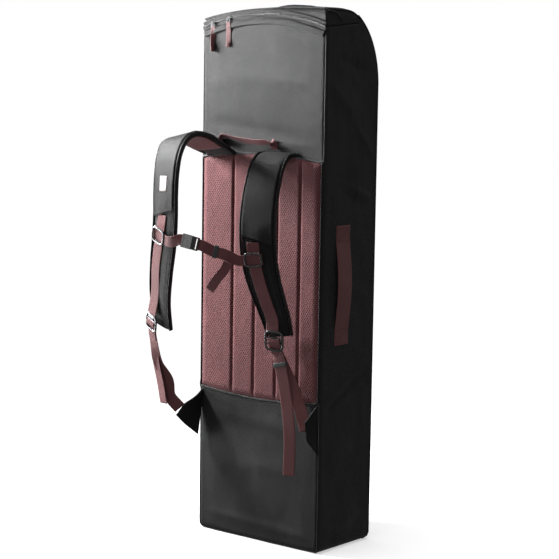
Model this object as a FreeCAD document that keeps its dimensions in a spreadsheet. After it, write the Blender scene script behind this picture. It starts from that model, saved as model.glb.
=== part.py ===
"""Tall padded snowboard bag with a backpack harness.

The bag stands on its base. +Z is up, the harness side faces -Y and the bag's width runs along X.
The origin is the centre of the base. Millimetres.
"""

import FreeCAD, Part

import math
import os
import re

import Sketcher
from FreeCAD import Placement, Rotation, Vector

# ---------------------------------------------------------------------------------------------
# Driving sizes: alias, value, meaning
# ---------------------------------------------------------------------------------------------
SIZES = [
    ("bag_wide", 440.0, "overall width of the bag"),
    ("bag_deep", 240.0, "overall depth of the bag"),
    ("bag_tall", 1500.0, "height of the crown at its middle"),
    ("wall", 4.0, "padded shell: fabric, foam and lining"),
    ("seam_gap", 0.3, "gap between two sewn panels"),
    ("crown_radius", 1877.0, "radius of the crown from side to side"),
    ("crown_shift", 110.0, "crown's highest line, to the right of the middle"),
    ("arch_radius", 690.0, "radius of the zip's arch over the front"),
    ("zip_below_top", 22.0, "zip line below the crown, at the middle"),
    ("top_flat", 70.0, "depth of the level part of the top"),
    ("shoulder_drop", 225.0, "height of the rounded rear shoulder"),
    ("lid_deep", 144.0, "depth of the crown lid, front to hinge"),
    ("pad_top", 1088.0, "top edge of the back pad"),
    ("pad_low", 416.0, "bottom edge of the back pad"),
    ("cover_thick", 3.0, "spacer mesh of the back pad"),
    ("foam_thick", 10.0, "foam of the back pad"),
    ("sheet_thick", 2.0, "stiffening sheet behind the foam"),
    ("base_board_thick", 3.0, "stiff board in the base"),
    ("board_margin", 6.0, "base board set in from the walls"),
    ("piping_bore", 1.5, "radius of the corner piping"),
    ("piping_low", 22.0, "height at which the corner piping starts"),
    ("tape_wide", 12.0, "zip tape beyond its teeth"),
    ("tape_thick", 1.2, "zip tape"),
    ("tape_set", 0.8, "zip tape set back from the front face"),
    ("teeth_wide", 2.6, "one row of zip teeth"),
    ("teeth_deep", 2.4, "zip teeth, front to back"),
    ("teeth_apart", 1.2, "half the gap that the slider's post runs in"),
    ("slider_long", 13.0, "zip slider along the zip"),
    ("slider_tall", 10.0, "zip slider across the zip"),
    ("slider_plate", 1.6, "zip slider's plate"),
    ("slider_off", 2.2, "slider's plate in front of the teeth"),
    ("slider_1_from_middle", 181.0, "outer slider's place, left of the middle"),
    ("slider_2_from_middle", 124.0, "inner slider's place, left of the middle"),
    ("ear_wide", 1.6, "one ear that holds a bail"),
    ("ear_tall", 2.4, "half the height of an ear"),
    ("ear_wall", 0.8, "wall of an ear in front of the wire"),
    ("bail_gap", 0.1, "radial clearance of a bail in its ears"),
    ("bail_wide", 9.0, "puller's wire bail across"),
    ("bail_long", 13.0, "puller's wire bail down"),
    ("bail_wire", 1.0, "radius of the bail's wire"),
    ("pull_wide", 16.0, "webbing pull tab across"),
    ("pull_long", 66.0, "webbing pull tab down"),
    ("pull_thick", 3.0, "folded webbing pull tab"),
    ("side_zip_low", 447.0, "bottom of the side zip"),
    ("side_zip_from_front", 26.0, "side zip's middle behind the front face"),
    ("side_tape_wide", 28.0, "side zip tape across"),
    ("end_tab_out", 18.0, "side zip's end tab, outwards"),
    ("end_tab_tall", 50.0, "side zip's end tab, height"),
    ("end_tab_wide", 22.0, "side zip's end tab, width"),
    ("web_thick", 1.8, "webbing"),
    ("haul_wide", 62.0, "side haul handle across"),
    ("haul_long", 330.0, "side haul handle up"),
    ("haul_middle", 742.0, "height of the side haul handle's middle"),
    ("haul_from_mid", 32.0, "side haul handle forward of the side's middle"),
    ("haul_sewn", 48.0, "sewn length at each end of the haul handle"),
    ("haul_bow", 8.0, "haul handle's bow away from the side"),
    ("grab_wide", 25.0, "grab handle webbing"),
    ("root_tall", 1092.0, "height at which the shoulder pads are sewn in"),
    ("pad_thick", 13.0, "shoulder pad"),
    ("lining_thick", 1.6, "mesh lining under a shoulder pad"),
    ("binding_wide", 5.0, "bound edge of a shoulder pad"),
    ("cover_inset", 4.0, "fabric cover of the webbing's end set in from the bound edges"),
    ("patch_wide", 34.0, "plain patch across"),
    ("patch_thick", 1.0, "plain patch"),
    ("shoulder_web", 38.0, "webbing down the shoulder pad"),
    ("layer_gap", 0.4, "gap between layers that lie on each other"),
    ("lock_slack", 2.0, "lower webbing narrower than the shoulder webbing"),
    ("lock_wide", 50.0, "ladder lock across"),
    ("lock_tall", 52.0, "ladder lock from top bar to bottom bar"),
    ("lock_rod", 2.4, "radius of the ladder lock's bars"),
    ("stern_wide", 30.0, "sternum webbing"),
    ("left_edge", 60.0, "sternum webbing lies on the left pad this far from its slider"),
    ("right_edge", 48.0, "sternum webbing lies on the right pad this far from its slider"),
    ("tail_slack", 4.0, "sternum webbing's tail narrower than the webbing"),
    ("stern_frame_wide", 54.0, "sternum slider across"),
    ("stern_frame_tall", 40.0, "sternum slider up"),
    ("stern_frame_rod", 2.2, "radius of the sternum slider's frame"),
    ("buckle_tall", 37.0, "sternum buckle across the webbing"),
    ("buckle_thick", 9.0, "sternum buckle, front to back"),
    ("female_long", 28.0, "sternum buckle socket along the webbing"),
    ("male_long", 20.0, "sternum buckle plug along the webbing"),
    ("prong_long", 20.0, "length of a prong inside the socket"),
    ("buckle_wall", 2.0, "wall of the buckle's socket"),
    ("buckle_gap", 0.5, "running gap inside the buckle"),
    ("keeper_long", 14.0, "elastic keeper along its webbing"),
    ("keeper_thick", 1.2, "elastic keeper"),
    ("wing_thick", 3.0, "lower wing"),
    ("wing_seam", 6.0, "wing's seam in from the bag's corner"),
    ("wing_top", 414.0, "top of a wing's seam"),
    ("wing_low", 280.0, "bottom of a wing's seam"),
    ("inner_strap_wide", 38.0, "strap that holds the board inside"),
    ("inner_strap_low", 430.0, "height of the lower inner strap"),
    ("inner_strap_high", 1000.0, "height of the upper inner strap"),
]

# Stations of the shoulder pads, from the sewn root down to the tip:
# across from the bag's middle, out from the front face, below the root, width, yaw, roll (degrees)
LEFT_PAD = [
    (-150, 3.3, 0, 116, 0, 0), (-150, 48, -19, 110, 0, 7), (-154, 104, -42, 108, 0, 12),
    (-155, 150, -47, 108, 0, 13), (-154, 187, -34, 108, 5, 9), (-152, 210, 0, 108, 11, 4),
    (-150, 222, 47, 108, 13, 0), (-149, 227, 102, 108, 13, 0), (-149, 227, 162, 108, 13, 0),
    (-154, 225, 222, 107, 13, 0), (-182, 207, 317, 100, 14, 0), (-208, 183, 402, 92, 15, 0),
    (-222, 156, 482, 84, 15, 0),
]
RIGHT_PAD = [
    (67, 1.4, -5, 124, 0, 0), (67, 28, -3, 114, -3, 0), (67, 52, 20, 110, -8, 0),
    (70, 76, 70, 108, -12, 0), (76, 97, 127, 108, -15, 0), (84, 112, 187, 108, -15, 0),
    (90, 118, 227, 108, -15, 0), (92, 114, 272, 107, -15, 0), (95, 98, 332, 103, -15, 0),
    (98, 72, 392, 96, -15, 0), (99, 46, 446, 88, -15, 0), (100, 30, 490, 80, -15, 0),
]
# Shoulder webbing: the pad's station where it comes out, and how far it lies across the pad from there on
LEFT_WEB = (8, [-2, -12, -16, -16])
RIGHT_WEB = (6, [-12, -12, -10, -9, -9])

# Ladder locks: centre (across, out, below the root), downward direction, yaw of the bars
LEFT_LOCK = ((-252, 172, 474), (-0.32, 0.30, -1.0), 15)
RIGHT_LOCK = ((93, 47, 504), (0.10, 0.20, -1.0), -15)

# Wings: the free edge's two ends (in from the bag's corner, out, height)
LEFT_WING_EDGE = ((12, 80, 376), (-14, 85, 344))
RIGHT_WING_EDGE = ((22, 18, 366), (45, 22, 326))

# Lower webbing after the lock: (across from the bag's middle, out, height), then the free tail
LEFT_FIXED = [(-260, 148, 540), (-266, 126, 492), (-247, 108, 446), (-249, 97, 398)]
LEFT_TAIL = [(-268, 142, 540), (-274, 126, 490), (-270, 115, 440), (-264, 106, 376)]
RIGHT_FIXED = [(108, 26, 520), (132, 17, 470), (156, 13, 415)]
RIGHT_TAIL = [(104, 38, 540), (112, 37, 506), (126, 32, 430), (138, 28, 320), (134, 25, 214)]

# Grab handle: (across from the harness's middle, out, above the root)
GRAB_MIDDLE = -45
GRAB_PATH = [(-90, 1.8, 14), (-93, 8, 32), (-82, 18, 46), (-24, 19, 40), (38, 17, 36), (80, 15, 36), (92, 8, 33), (90, 1.8, 18)]
GRAB_TURN = [(1, 0, 0), (0.9, -0.4, 0), (0.35, -0.8, 0.4), (0, -0.8, 0.6), (0, -0.8, 0.6), (-0.35, -0.8, 0.4),
             (-0.9, -0.4, 0), (-1, 0, 0)]

# Sternum strap between its sliders, and its hanging tail: (across from the bag's middle, out, below the root)
STERN_PATH = [(-85, 240, 224), (-20, 212, 240), (-8, 193, 253), (15, 170, 262)]
STERN_TAIL = [(22, 161, 284.5), (14, 165, 303), (-12, 170, 334), (-36, 170, 364)]
# Station of each pad that its sternum slider sits on
LEFT_SLIDER_STATION = 9
RIGHT_SLIDER_STATION = 7

# ---------------------------------------------------------------------------------------------
# Document and helpers
# ---------------------------------------------------------------------------------------------
DOC = FreeCAD.newDocument("snowboard_bag")
SHEET = DOC.addObject("Spreadsheet::Sheet", "sizes")
SHEET.Label = "sizes"
for row, (alias, value, meaning) in enumerate(SIZES, start=1):
    SHEET.set(f"A{row}", str(value))
    SHEET.setAlias(f"A{row}", alias)
    SHEET.set(f"B{row}", meaning)
DOC.recompute()

ALIASES = {alias for alias, _, _ in SIZES}
NODES = []


def size(alias):
    """A driving size's value."""
    return float(SHEET.get(alias))


def bind(obj, prop, expression):
    """Tie a property to an expression in the sheet's aliases."""
    linked = re.sub(r"[a-z_][a-z_0-9]*", lambda m: f"sizes.{m[0]}" if m[0] in ALIASES else m[0], str(expression))
    obj.setExpression(prop, linked)


def node(name, obj):
    """Name an object as one sub-part that is written out."""
    obj.Label = name
    NODES.append(obj)
    return obj


def add_shape(name, shape):
    """A feature whose shape is set from this file's own geometry."""
    feature = DOC.addObject("Part::Feature", name)
    feature.Shape = shape
    feature.Placement = Placement()
    return feature


def block(name, low, high):
    """A box between two corners, each given as three expressions."""
    box = DOC.addObject("Part::Box", name)
    for prop, axis, a, b in zip(("Length", "Width", "Height"), "xyz", low, high):
        bind(box, prop, f"({b}) - ({a})")
        bind(box, f"Placement.Base.{axis}", a)
    return box


def drum(name, radius):
    """A cylinder along Y through the whole bag, centred on the zip's arch."""
    cylinder = DOC.addObject("Part::Cylinder", name)
    bind(cylinder, "Radius", radius)
    bind(cylinder, "Height", "2 * bag_deep")
    cylinder.Placement.Rotation = Rotation(Vector(1, 0, 0), -90)
    bind(cylinder, "Placement.Base.y", "-bag_deep")
    bind(cylinder, "Placement.Base.z", "bag_tall - zip_below_top - arch_radius")
    return cylinder


def boolean(kind, name, base, tool):
    """Part::Cut, Part::Common or Part::Fuse of two objects."""
    result = DOC.addObject(f"Part::{kind}", name)
    result.Base = base
    result.Tool = tool
    return result


def plate(name, plane, outline, length, start, holes=()):
    """A body padded from an outline (and holes) of corner expressions on an origin plane."""
    body = DOC.addObject("PartDesign::Body", name)
    DOC.recompute()
    sketch = body.newObject("Sketcher::SketchObject", f"{name}_sketch")
    origin_plane = next(f for f in body.Origin.OriginFeatures if f.Role == plane)
    sketch.AttachmentSupport = [(origin_plane, "")]
    sketch.MapMode = "FlatFace"
    bind(sketch, "AttachmentOffset.Base.z", start)
    for ring in (outline, *holes):
        first = sketch.GeometryCount
        corners = [Vector(*(evaluate(part) for part in corner), 0) for corner in ring]
        for a, b in zip(corners, corners[1:] + corners[:1]):
            sketch.addGeometry(Part.LineSegment(a, b))
        count = len(ring)
        for i in range(count):
            sketch.addConstraint(Sketcher.Constraint("Coincident", first + i, 2, first + (i + 1) % count, 1))
        for i, (corner, place) in enumerate(zip(ring, corners)):
            for kind, expression, value in zip(("DistanceX", "DistanceY"), corner, place):
                index = sketch.addConstraint(Sketcher.Constraint(kind, -1, 1, first + i, 1, value))
                bind(sketch, f"Constraints[{index}]", expression)
    pad = body.newObject("PartDesign::Pad", f"{name}_pad")
    pad.Profile = sketch
    bind(pad, "Length", length)
    return body


def evaluate(expression):
    """The value of an expression in the sheet's aliases, worked out by a scratch cell."""
    linked = str(expression)
    SHEET.set("D1", f"={linked}")
    SHEET.recompute()
    return float(SHEET.get("D1"))


def unit(vector):
    """A copy of a vector with length 1."""
    return Vector(vector).normalize()


def section(centre, across, out, wide, thick, chamfer):
    """A closed wire: a rectangle about a centre, with its corners cut when chamfer isn't 0."""
    a, b, c = wide / 2, thick / 2, chamfer
    if c:
        corners = [(-a + c, -b), (a - c, -b), (a, -b + c), (a, b - c), (a - c, b), (-a + c, b), (-a, b - c), (-a, -b + c)]
    else:
        corners = [(-a, -b), (a, -b), (a, b), (-a, b)]
    points = [centre + across * u + out * v for u, v in corners]
    return Part.makePolygon(points + points[:1])


def frames(points, hints):
    """Tangent, across and out directions at each point of a strip's middle line."""
    result = []
    last = len(points) - 1
    for i, (point, hint) in enumerate(zip(points, hints)):
        tangent = unit(points[min(i + 1, last)] - points[max(i - 1, 0)])
        across = unit(hint - tangent * hint.dot(tangent))
        result.append((point, across, unit(tangent.cross(across))))
    return result


def strip(line, widths, thick, chamfer=0.0):
    """A band of webbing or padding: sections lofted along the frames of its middle line."""
    wires = [
        section(point, across, out, wide, thick, chamfer)
        for (point, across, out), wide in zip(line, widths)
    ]
    band = Part.makeLoft(wires, True, True)
    return band.reversed() if band.Volume < 0 else band


def shifted(line, across_by, out_by):
    """A middle line's frames moved across (one number, or one for each frame) and outwards."""
    moves = across_by if isinstance(across_by, list) else [across_by] * len(line)
    return [(point + across * move + out * out_by, across, out) for (point, across, out), move in zip(line, moves)]


def webbing(name, points, hints, wide):
    """A node of webbing through points, with its width along the hints."""
    line = frames(points, hints)
    node(name, add_shape(name, strip(line, [wide] * len(line), size("web_thick"))))


# ---------------------------------------------------------------------------------------------
# Shell
# ---------------------------------------------------------------------------------------------
FRONT = "(-bag_deep / 2)"
REAR = "(bag_deep / 2)"
HALF = "(bag_wide / 2)"
ARCH_TALL = "(bag_tall - zip_below_top - arch_radius)"
FAR = "(2 * bag_tall)"


def side_profile(inset):
    """The bag seen from its side, set in by a wall: level base, upright front, rounded rear shoulder."""
    front = -size("bag_deep") / 2 + inset
    rear = size("bag_deep") / 2 - inset
    top = size("bag_tall") - inset
    flat_end = -size("bag_deep") / 2 + size("top_flat")
    shoulder = size("bag_tall") - size("shoulder_drop")
    centre = Vector(0, flat_end, shoulder)
    across, up = rear - flat_end, top - shoulder
    if up >= across:
        ellipse = Part.Ellipse(centre + Vector(0, 0, up), centre + Vector(0, across, 0), centre)
    else:
        ellipse = Part.Ellipse(centre + Vector(0, across, 0), centre + Vector(0, 0, up), centre)
    first, last = Vector(0, flat_end, top), Vector(0, rear, shoulder)
    ends = [ellipse.parameter(first), ellipse.parameter(last)]
    arc = Part.Edge(ellipse, min(ends), max(ends))
    if arc.Length > (across + up):
        arc = Part.Edge(ellipse, max(ends), min(ends) + 2 * math.pi)
    low = inset
    lines = [
        Part.makeLine(last, Vector(0, rear, low)),
        Part.makeLine(Vector(0, rear, low), Vector(0, front, low)),
        Part.makeLine(Vector(0, front, low), Vector(0, front, top)),
        Part.makeLine(Vector(0, front, top), first),
    ]
    return Part.Face(Part.Wire(Part.__sortEdges__([arc, *lines])))


def bag_block(inset):
    """The whole bag as a solid, set in by a wall, under the crown's arch."""
    half = size("bag_wide") / 2 - inset
    profile = side_profile(inset)
    profile.translate(Vector(-half, 0, 0))
    body = profile.extrude(Vector(2 * half, 0, 0))
    radius = size("crown_radius")
    centre_tall = size("bag_tall") - radius
    deep, wide = size("bag_deep"), size("bag_wide")
    arch = Part.makeCylinder(radius - inset, 2 * deep, Vector(size("crown_shift"), -deep, centre_tall), Vector(0, 1, 0))
    upper = Part.makeBox(2 * wide, 2 * deep, 2 * radius, Vector(-wide, -deep, centre_tall))
    return body.cut(upper.cut(arch))


def make_shell():
    """Panels cut from the shell between the outer and the inner block."""
    outer = add_shape("outer_block", bag_block(0.0))
    inner = add_shape("inner_block", bag_block(size("wall")))
    shell = boolean("Cut", "shell", outer, inner)

    lid_edge = drum("lid_edge", "arch_radius + teeth_apart + teeth_wide + tape_wide")
    body_edge = drum("body_edge", "arch_radius - teeth_apart - teeth_wide - tape_wide")
    lid_zone = block("lid_zone", ("-bag_wide", "-bag_deep", "bag_tall / 2"),
                     ("bag_wide", f"{FRONT} + lid_deep", FAR))
    above_body = boolean("Cut", "above_body", lid_zone, body_edge)
    zip_room = block("zip_room", ("-bag_wide", "-bag_deep", "bag_tall / 2"),
                     ("bag_wide", f"{FRONT} + lid_deep + seam_gap", FAR))
    side_top = drum("side_top", "arch_radius - seam_gap")
    above_side = boolean("Cut", "above_side", zip_room, side_top)

    front_low, front_high = f"{FRONT} - 1", f"{FRONT} + wall"
    inner_left, inner_right = f"-{HALF} + wall", f"{HALF} - wall"

    upper = block("front_upper_zone", (inner_left, front_low, "pad_top + seam_gap"), (inner_right, front_high, FAR))
    upper_cut = boolean("Cut", "front_upper_cut", upper, above_body)
    node("front_upper_panel", boolean("Common", "front_upper_panel", shell, upper_cut))

    node("front_lower_panel", plate(
        "front_lower_panel", "XZ_Plane",
        [(inner_left, "wall"), (inner_right, "wall"), (inner_right, "pad_low - seam_gap"),
         (inner_left, "pad_low - seam_gap")],
        "wall", "bag_deep / 2 - wall"))

    for side, low, high in (("left", f"-{HALF} - 1", inner_left), ("right", inner_right, f"{HALF} + 1")):
        zone = block(f"{side}_gusset_zone", (low, "-bag_deep", "0"), (high, "bag_deep", FAR))
        cut = boolean("Cut", f"{side}_gusset_cut", zone, above_side)
        node(f"{side}_gusset", boolean("Common", f"{side}_gusset", shell, cut))

    node("rear_panel", plate(
        "rear_panel", "XZ_Plane",
        [(inner_left, "wall"), (inner_right, "wall"), (inner_right, "bag_tall - shoulder_drop"),
         (inner_left, "bag_tall - shoulder_drop")],
        "wall", "-bag_deep / 2"))
    rear_top = block("rear_shoulder_zone",
                     (inner_left, f"{FRONT} + lid_deep + seam_gap", "bag_tall - shoulder_drop"),
                     (inner_right, "bag_deep", FAR))
    node("rear_shoulder_panel", boolean("Common", "rear_shoulder_panel", shell, rear_top))
    node("base_panel", plate(
        "base_panel", "XY_Plane",
        [(inner_left, FRONT), (inner_right, FRONT), (inner_right, REAR), (inner_left, REAR)], "wall", "0"))

    lid_part = boolean("Cut", "lid_part", lid_zone, drum("lid_low_edge", "arch_radius + seam_gap"))
    lid_shell = boolean("Common", "lid_shell", shell, lid_part)
    front_band = block("lid_front_band", ("-bag_wide", "-bag_deep", "bag_tall / 2"), ("bag_wide", front_high, FAR))
    band_cut = boolean("Common", "lid_band_cut", front_band, lid_edge)
    node("crown_panel", boolean("Cut", "crown_panel", lid_shell, band_cut))


def make_base_board():
    """The stiff board that lies on the base inside."""
    edge = "(wall + board_margin)"
    left, right = f"-{HALF} + {edge}", f"{HALF} - {edge}"
    front, rear = f"{FRONT} + foam_thick + sheet_thick + {edge}", f"{REAR} - {edge}"
    node("base_board", plate("base_board", "XY_Plane", [(left, front), (right, front), (right, rear), (left, rear)],
                             "base_board_thick", "wall"))


def make_back_pad():
    """Spacer mesh, foam and stiffening sheet between the two front panels."""
    left, right = f"-{HALF} + wall", f"{HALF} - wall"
    outline = [(left, "pad_low"), (right, "pad_low"), (right, "pad_top"), (left, "pad_top")]
    layers = [
        ("back_pad_cover", "cover_thick", "bag_deep / 2"),
        ("back_pad_foam", "foam_thick", "bag_deep / 2 - foam_thick"),
        ("frame_sheet", "sheet_thick", "bag_deep / 2 - foam_thick - sheet_thick"),
    ]
    for name, thick, start in layers:
        node(name, plate(name, "XZ_Plane", outline, thick, start))


def make_piping():
    """Round piping down the two front corners."""
    for side, sign in (("left", -1), ("right", 1)):
        rod = DOC.addObject("Part::Cylinder", f"corner_piping_{side}")
        bind(rod, "Radius", "piping_bore")
        bind(rod, "Height", f"{ARCH_TALL} + sqrt(arch_radius ^ 2 - bag_wide ^ 2 / 4) - piping_low - tape_wide")
        offset = "(piping_bore * 0.7072 + seam_gap * 0.7072)"
        bind(rod, "Placement.Base.x", f"{sign} * ({HALF} + {offset})")
        bind(rod, "Placement.Base.y", f"{FRONT} - {offset}")
        bind(rod, "Placement.Base.z", "piping_low")
        node(f"corner_piping_{side}", rod)


# ---------------------------------------------------------------------------------------------
# Zips
# ---------------------------------------------------------------------------------------------
def make_arch_band(name, inner, outer, front, rear):
    """A band of the zip's arch between two radii and two depths, as wide as the front."""
    ring = boolean("Cut", f"{name}_ring", drum(f"{name}_outer", outer), drum(f"{name}_inner", inner))
    zone = block(f"{name}_zone", (f"-{HALF} + wall + seam_gap", front, f"{ARCH_TALL}"),
                 (f"{HALF} - wall - seam_gap", rear, FAR))
    node(name, boolean("Common", name, ring, zone))


def make_front_zip():
    """Tapes and teeth on both sides of the arched zip line."""
    tape_front, tape_rear = f"{FRONT} + tape_set", f"{FRONT} + tape_set + tape_thick"
    teeth_front, teeth_rear = f"{FRONT} + tape_set - seam_gap", f"{FRONT} + tape_set - seam_gap + teeth_deep"
    near, far = "teeth_apart + teeth_wide", "teeth_apart + teeth_wide + tape_wide"
    make_arch_band("zip_tape_lower", f"arch_radius - {far.replace('+', '-')} + seam_gap",
                   f"arch_radius - {near.replace('+', '-')} - seam_gap", tape_front, tape_rear)
    make_arch_band("zip_teeth_lower", "arch_radius - teeth_apart - teeth_wide", "arch_radius - teeth_apart",
                   teeth_front, teeth_rear)
    make_arch_band("zip_teeth_upper", "arch_radius + teeth_apart", "arch_radius + teeth_apart + teeth_wide",
                   teeth_front, teeth_rear)
    make_arch_band("zip_tape_upper", f"arch_radius + {near} + seam_gap", f"arch_radius + {far} - seam_gap",
                   tape_front, tape_rear)


def zip_angle(from_middle):
    """Angle along the arch of a place left of the middle, in degrees."""
    return math.degrees(math.asin(from_middle / size("arch_radius")))


def make_slider(number, from_middle):
    """A zip slider with its post, lip and ears, a wire bail and a webbing pull tab."""
    radius = size("arch_radius")
    arch_tall = size("bag_tall") - size("zip_below_top") - radius
    line = arch_tall + radius
    teeth_front = -size("bag_deep") / 2 + size("tape_set") - size("seam_gap")
    rear = teeth_front - size("slider_off")
    plate_thick = size("slider_plate")
    front = rear - plate_thick
    long, tall, gap = size("slider_long"), size("slider_tall"), size("seam_gap")
    body = Part.makeBox(long, plate_thick, tall, Vector(-long / 2, front, line - tall / 2))
    post_thick = 2 * size("teeth_apart") - gap
    post_deep = teeth_front + size("teeth_deep") + gap + plate_thick - rear
    post = Part.makeBox(long / 2, post_deep, post_thick, Vector(-long / 4, rear, line - post_thick / 2))
    lip = Part.makeBox(long, plate_thick, tall / 2,
                       Vector(-long / 2, rear + post_deep - plate_thick, line + post_thick / 2 - tall / 2))
    turned = body.fuse([post, lip])
    turn = Rotation(Vector(0, 1, 0), -zip_angle(from_middle))
    turned.Placement = Placement(Vector(), turn, Vector(0, 0, arch_tall))

    wire = size("bail_wire")
    place = Vector(-from_middle, 0, math.sqrt(radius ** 2 - from_middle ** 2) - radius)
    hinge = Vector(0, front - wire - gap, line) + place
    ear_wide, ear_tall = size("ear_wide"), 2 * size("ear_tall")
    ear_deep = 2 * (wire + gap) + size("ear_wall")
    half = size("bail_wide") / 2
    ears = [Part.makeBox(ear_wide, ear_deep, ear_tall, Vector(x, -ear_deep + wire + gap, -ear_tall / 2) + hinge)
            for x in (-half + wire + gap, half - wire - gap - ear_wide)]
    bore = Part.makeCylinder(wire + size("bail_gap"), 2 * long, hinge - Vector(long, 0, 0), Vector(1, 0, 0))
    slider = turned.fuse(ears).cut(bore)
    node(f"zip_slider_{number}", add_shape(f"zip_slider_{number}", slider))

    drop = Vector(0, 0, -size("bail_long"))
    side = Vector(half, 0, 0)
    corners = [hinge - side, hinge + side, hinge + side + drop, hinge - side + drop]
    bars = [rod(a, b, wire) for a, b in zip(corners, corners[1:] + corners[:1])]
    bail = bars[0].fuse(bars[1:])
    node(f"puller_bail_{number}", add_shape(f"puller_bail_{number}", bail))

    wide, thick = size("pull_wide"), size("pull_thick")
    loop = hinge + drop
    neck_half = half - wire - gap
    neck_long = size("pull_long") * 0.2
    neck = Part.makeBox(2 * neck_half, thick, neck_long, loop + Vector(-neck_half, -thick / 2, -neck_long))
    eye_radius = wire + gap
    eye = Part.makeCylinder(eye_radius + size("web_thick") / 2, 2 * neck_half, loop - Vector(neck_half, 0, 0), Vector(1, 0, 0))
    hole = Part.makeCylinder(eye_radius, wide, loop - Vector(wide / 2, 0, 0), Vector(1, 0, 0))
    tab_long = size("pull_long") - neck_long
    tab = Part.makeBox(wide, thick, tab_long, loop + Vector(-wide / 2, -thick / 2, -size("pull_long")))
    pull = neck.fuse([eye, tab]).cut(hole)
    node(f"pull_tab_{number}", add_shape(f"pull_tab_{number}", pull))


def make_side_zip():
    """Straight zip down the left side, and the loop that ends it."""
    middle = f"({FRONT} + side_zip_from_front)"
    top = f"({ARCH_TALL} + sqrt(arch_radius ^ 2 - bag_wide ^ 2 / 4) - tape_wide)"
    face = f"(-{HALF} - seam_gap)"
    node("side_zip_tape", block("side_zip_tape", (f"{face} - tape_thick", f"{middle} - side_tape_wide / 2", "side_zip_low"),
                                (face, f"{middle} + side_tape_wide / 2", top)))
    node("side_zip_teeth", block(
        "side_zip_teeth",
        (f"{face} - tape_thick - seam_gap - teeth_deep / 2", f"{middle} - teeth_wide", "side_zip_low + teeth_wide"),
        (f"{face} - tape_thick - seam_gap", f"{middle} + teeth_wide", f"{top} - teeth_wide")))
    low, high = "side_zip_low - seam_gap - end_tab_tall", "side_zip_low - seam_gap"
    outer = block("end_tab_outer", (f"{face} - end_tab_out", f"{middle} - end_tab_wide / 2", low),
                  (face, f"{middle} + end_tab_wide / 2", high))
    hole = block("end_tab_hole", (f"{face} - end_tab_out + 2 * web_thick", f"{middle} - end_tab_wide", f"{low} + end_tab_tall / 3"),
                 (f"{face} - web_thick", f"{middle} + end_tab_wide", f"{high} - 2 * web_thick"))
    node("side_zip_end_tab", boolean("Cut", "side_zip_end_tab", outer, hole))


# ---------------------------------------------------------------------------------------------
# Handles, wings and inner straps
# ---------------------------------------------------------------------------------------------
def make_haul_handle():
    """Wide webbing sewn to the right side at both ends, bowed out between."""
    half = size("haul_long") / 2
    sewn = size("haul_sewn")
    face = size("bag_wide") / 2 + size("seam_gap") + size("web_thick") / 2
    bow = size("haul_bow")
    middle_y = -size("haul_from_mid")
    stops = [(-half, 0), (-half + sewn, 0), (-half + 1.6 * sewn, 0.45 * bow), (-half / 4, bow), (half / 4, bow),
             (half - 1.6 * sewn, 0.45 * bow), (half - sewn, 0), (half, 0)]
    points = [Vector(face + out, middle_y, size("haul_middle") + up) for up, out in stops]
    webbing("haul_handle_right", points, [Vector(0, 1, 0)] * len(points), size("haul_wide"))


def harness_point(across, out, below):
    """A place given from the bag's middle, the front face and the shoulder pads' sewn root."""
    return Vector(across, -size("bag_deep") / 2 - out, size("root_tall") - below)


def make_grab_handle():
    """Webbing loop between the shoulder pads' roots."""
    points = [harness_point(GRAB_MIDDLE + x, out, -up) for x, out, up in GRAB_PATH]
    webbing("grab_handle", points, [Vector(*turn) for turn in GRAB_TURN], size("grab_wide"))


def wing_edge(sign, edge):
    """The two ends of a wing's free edge."""
    corner = size("bag_wide") / 2
    return [Vector(sign * (corner - inset), -size("bag_deep") / 2 - out, up) for inset, out, up in edge]


def wing_frame(sign, edge):
    """Seam line, free edge, the direction between them, and the direction that a face looks in."""
    free = wing_edge(sign, edge)
    seam_x = sign * (size("bag_wide") / 2 - size("wing_seam"))
    front = -size("bag_deep") / 2 - size("seam_gap")
    middle = Vector(seam_x, front, (size("wing_top") + size("wing_low")) / 2)
    tangent = unit((free[0] + free[1]) * 0.5 - middle)
    facing = unit(tangent.cross(free[0] - free[1]))
    seam_y = front - abs(facing.y) * size("wing_thick") / 2
    seam = (Vector(seam_x, seam_y, size("wing_top")), Vector(seam_x, seam_y, size("wing_low")))
    return seam, free, tangent, facing


def make_wing(side, sign, edge):
    """Triangular gusset from the bag's corner seam to the lower webbing."""
    seam, free, tangent, _ = wing_frame(sign, edge)
    wires = []
    for top, low in (seam, free):
        across = unit(top - low)
        out = unit(tangent.cross(across))
        wires.append(section((top + low) * 0.5, across, out, (top - low).Length, size("wing_thick"), 0.0))
    node(f"wing_{side}", add_shape(f"wing_{side}", Part.makeLoft(wires, True, True)))


def make_inner_straps():
    """Two straps on the inside of the rear panel that hold the board."""
    thick = "web_thick"
    for name, low in (("inner_strap_low", "inner_strap_low"), ("inner_strap_high", "inner_strap_high")):
        inset = "(wall + board_margin)"
        node(f"{name}er", block(f"{name}er", (f"-{HALF} + {inset}", f"{REAR} - wall - seam_gap - {thick}", low),
                                (f"{HALF} - {inset}", f"{REAR} - wall - seam_gap", f"{low} + inner_strap_wide")))


# ---------------------------------------------------------------------------------------------
# Harness
# ---------------------------------------------------------------------------------------------
def pad_line(stations):
    """Frames and widths down the middle of a shoulder pad."""
    points, hints, widths = [], [], []
    for across, out, below, wide, yaw, roll in stations:
        points.append(harness_point(across, out, below))
        turn, lean = math.radians(yaw), math.radians(roll)
        hints.append(Vector(math.cos(turn) * math.cos(lean), -math.sin(turn), math.sin(lean)))
        widths.append(float(wide))
    return frames(points, hints), widths


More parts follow.
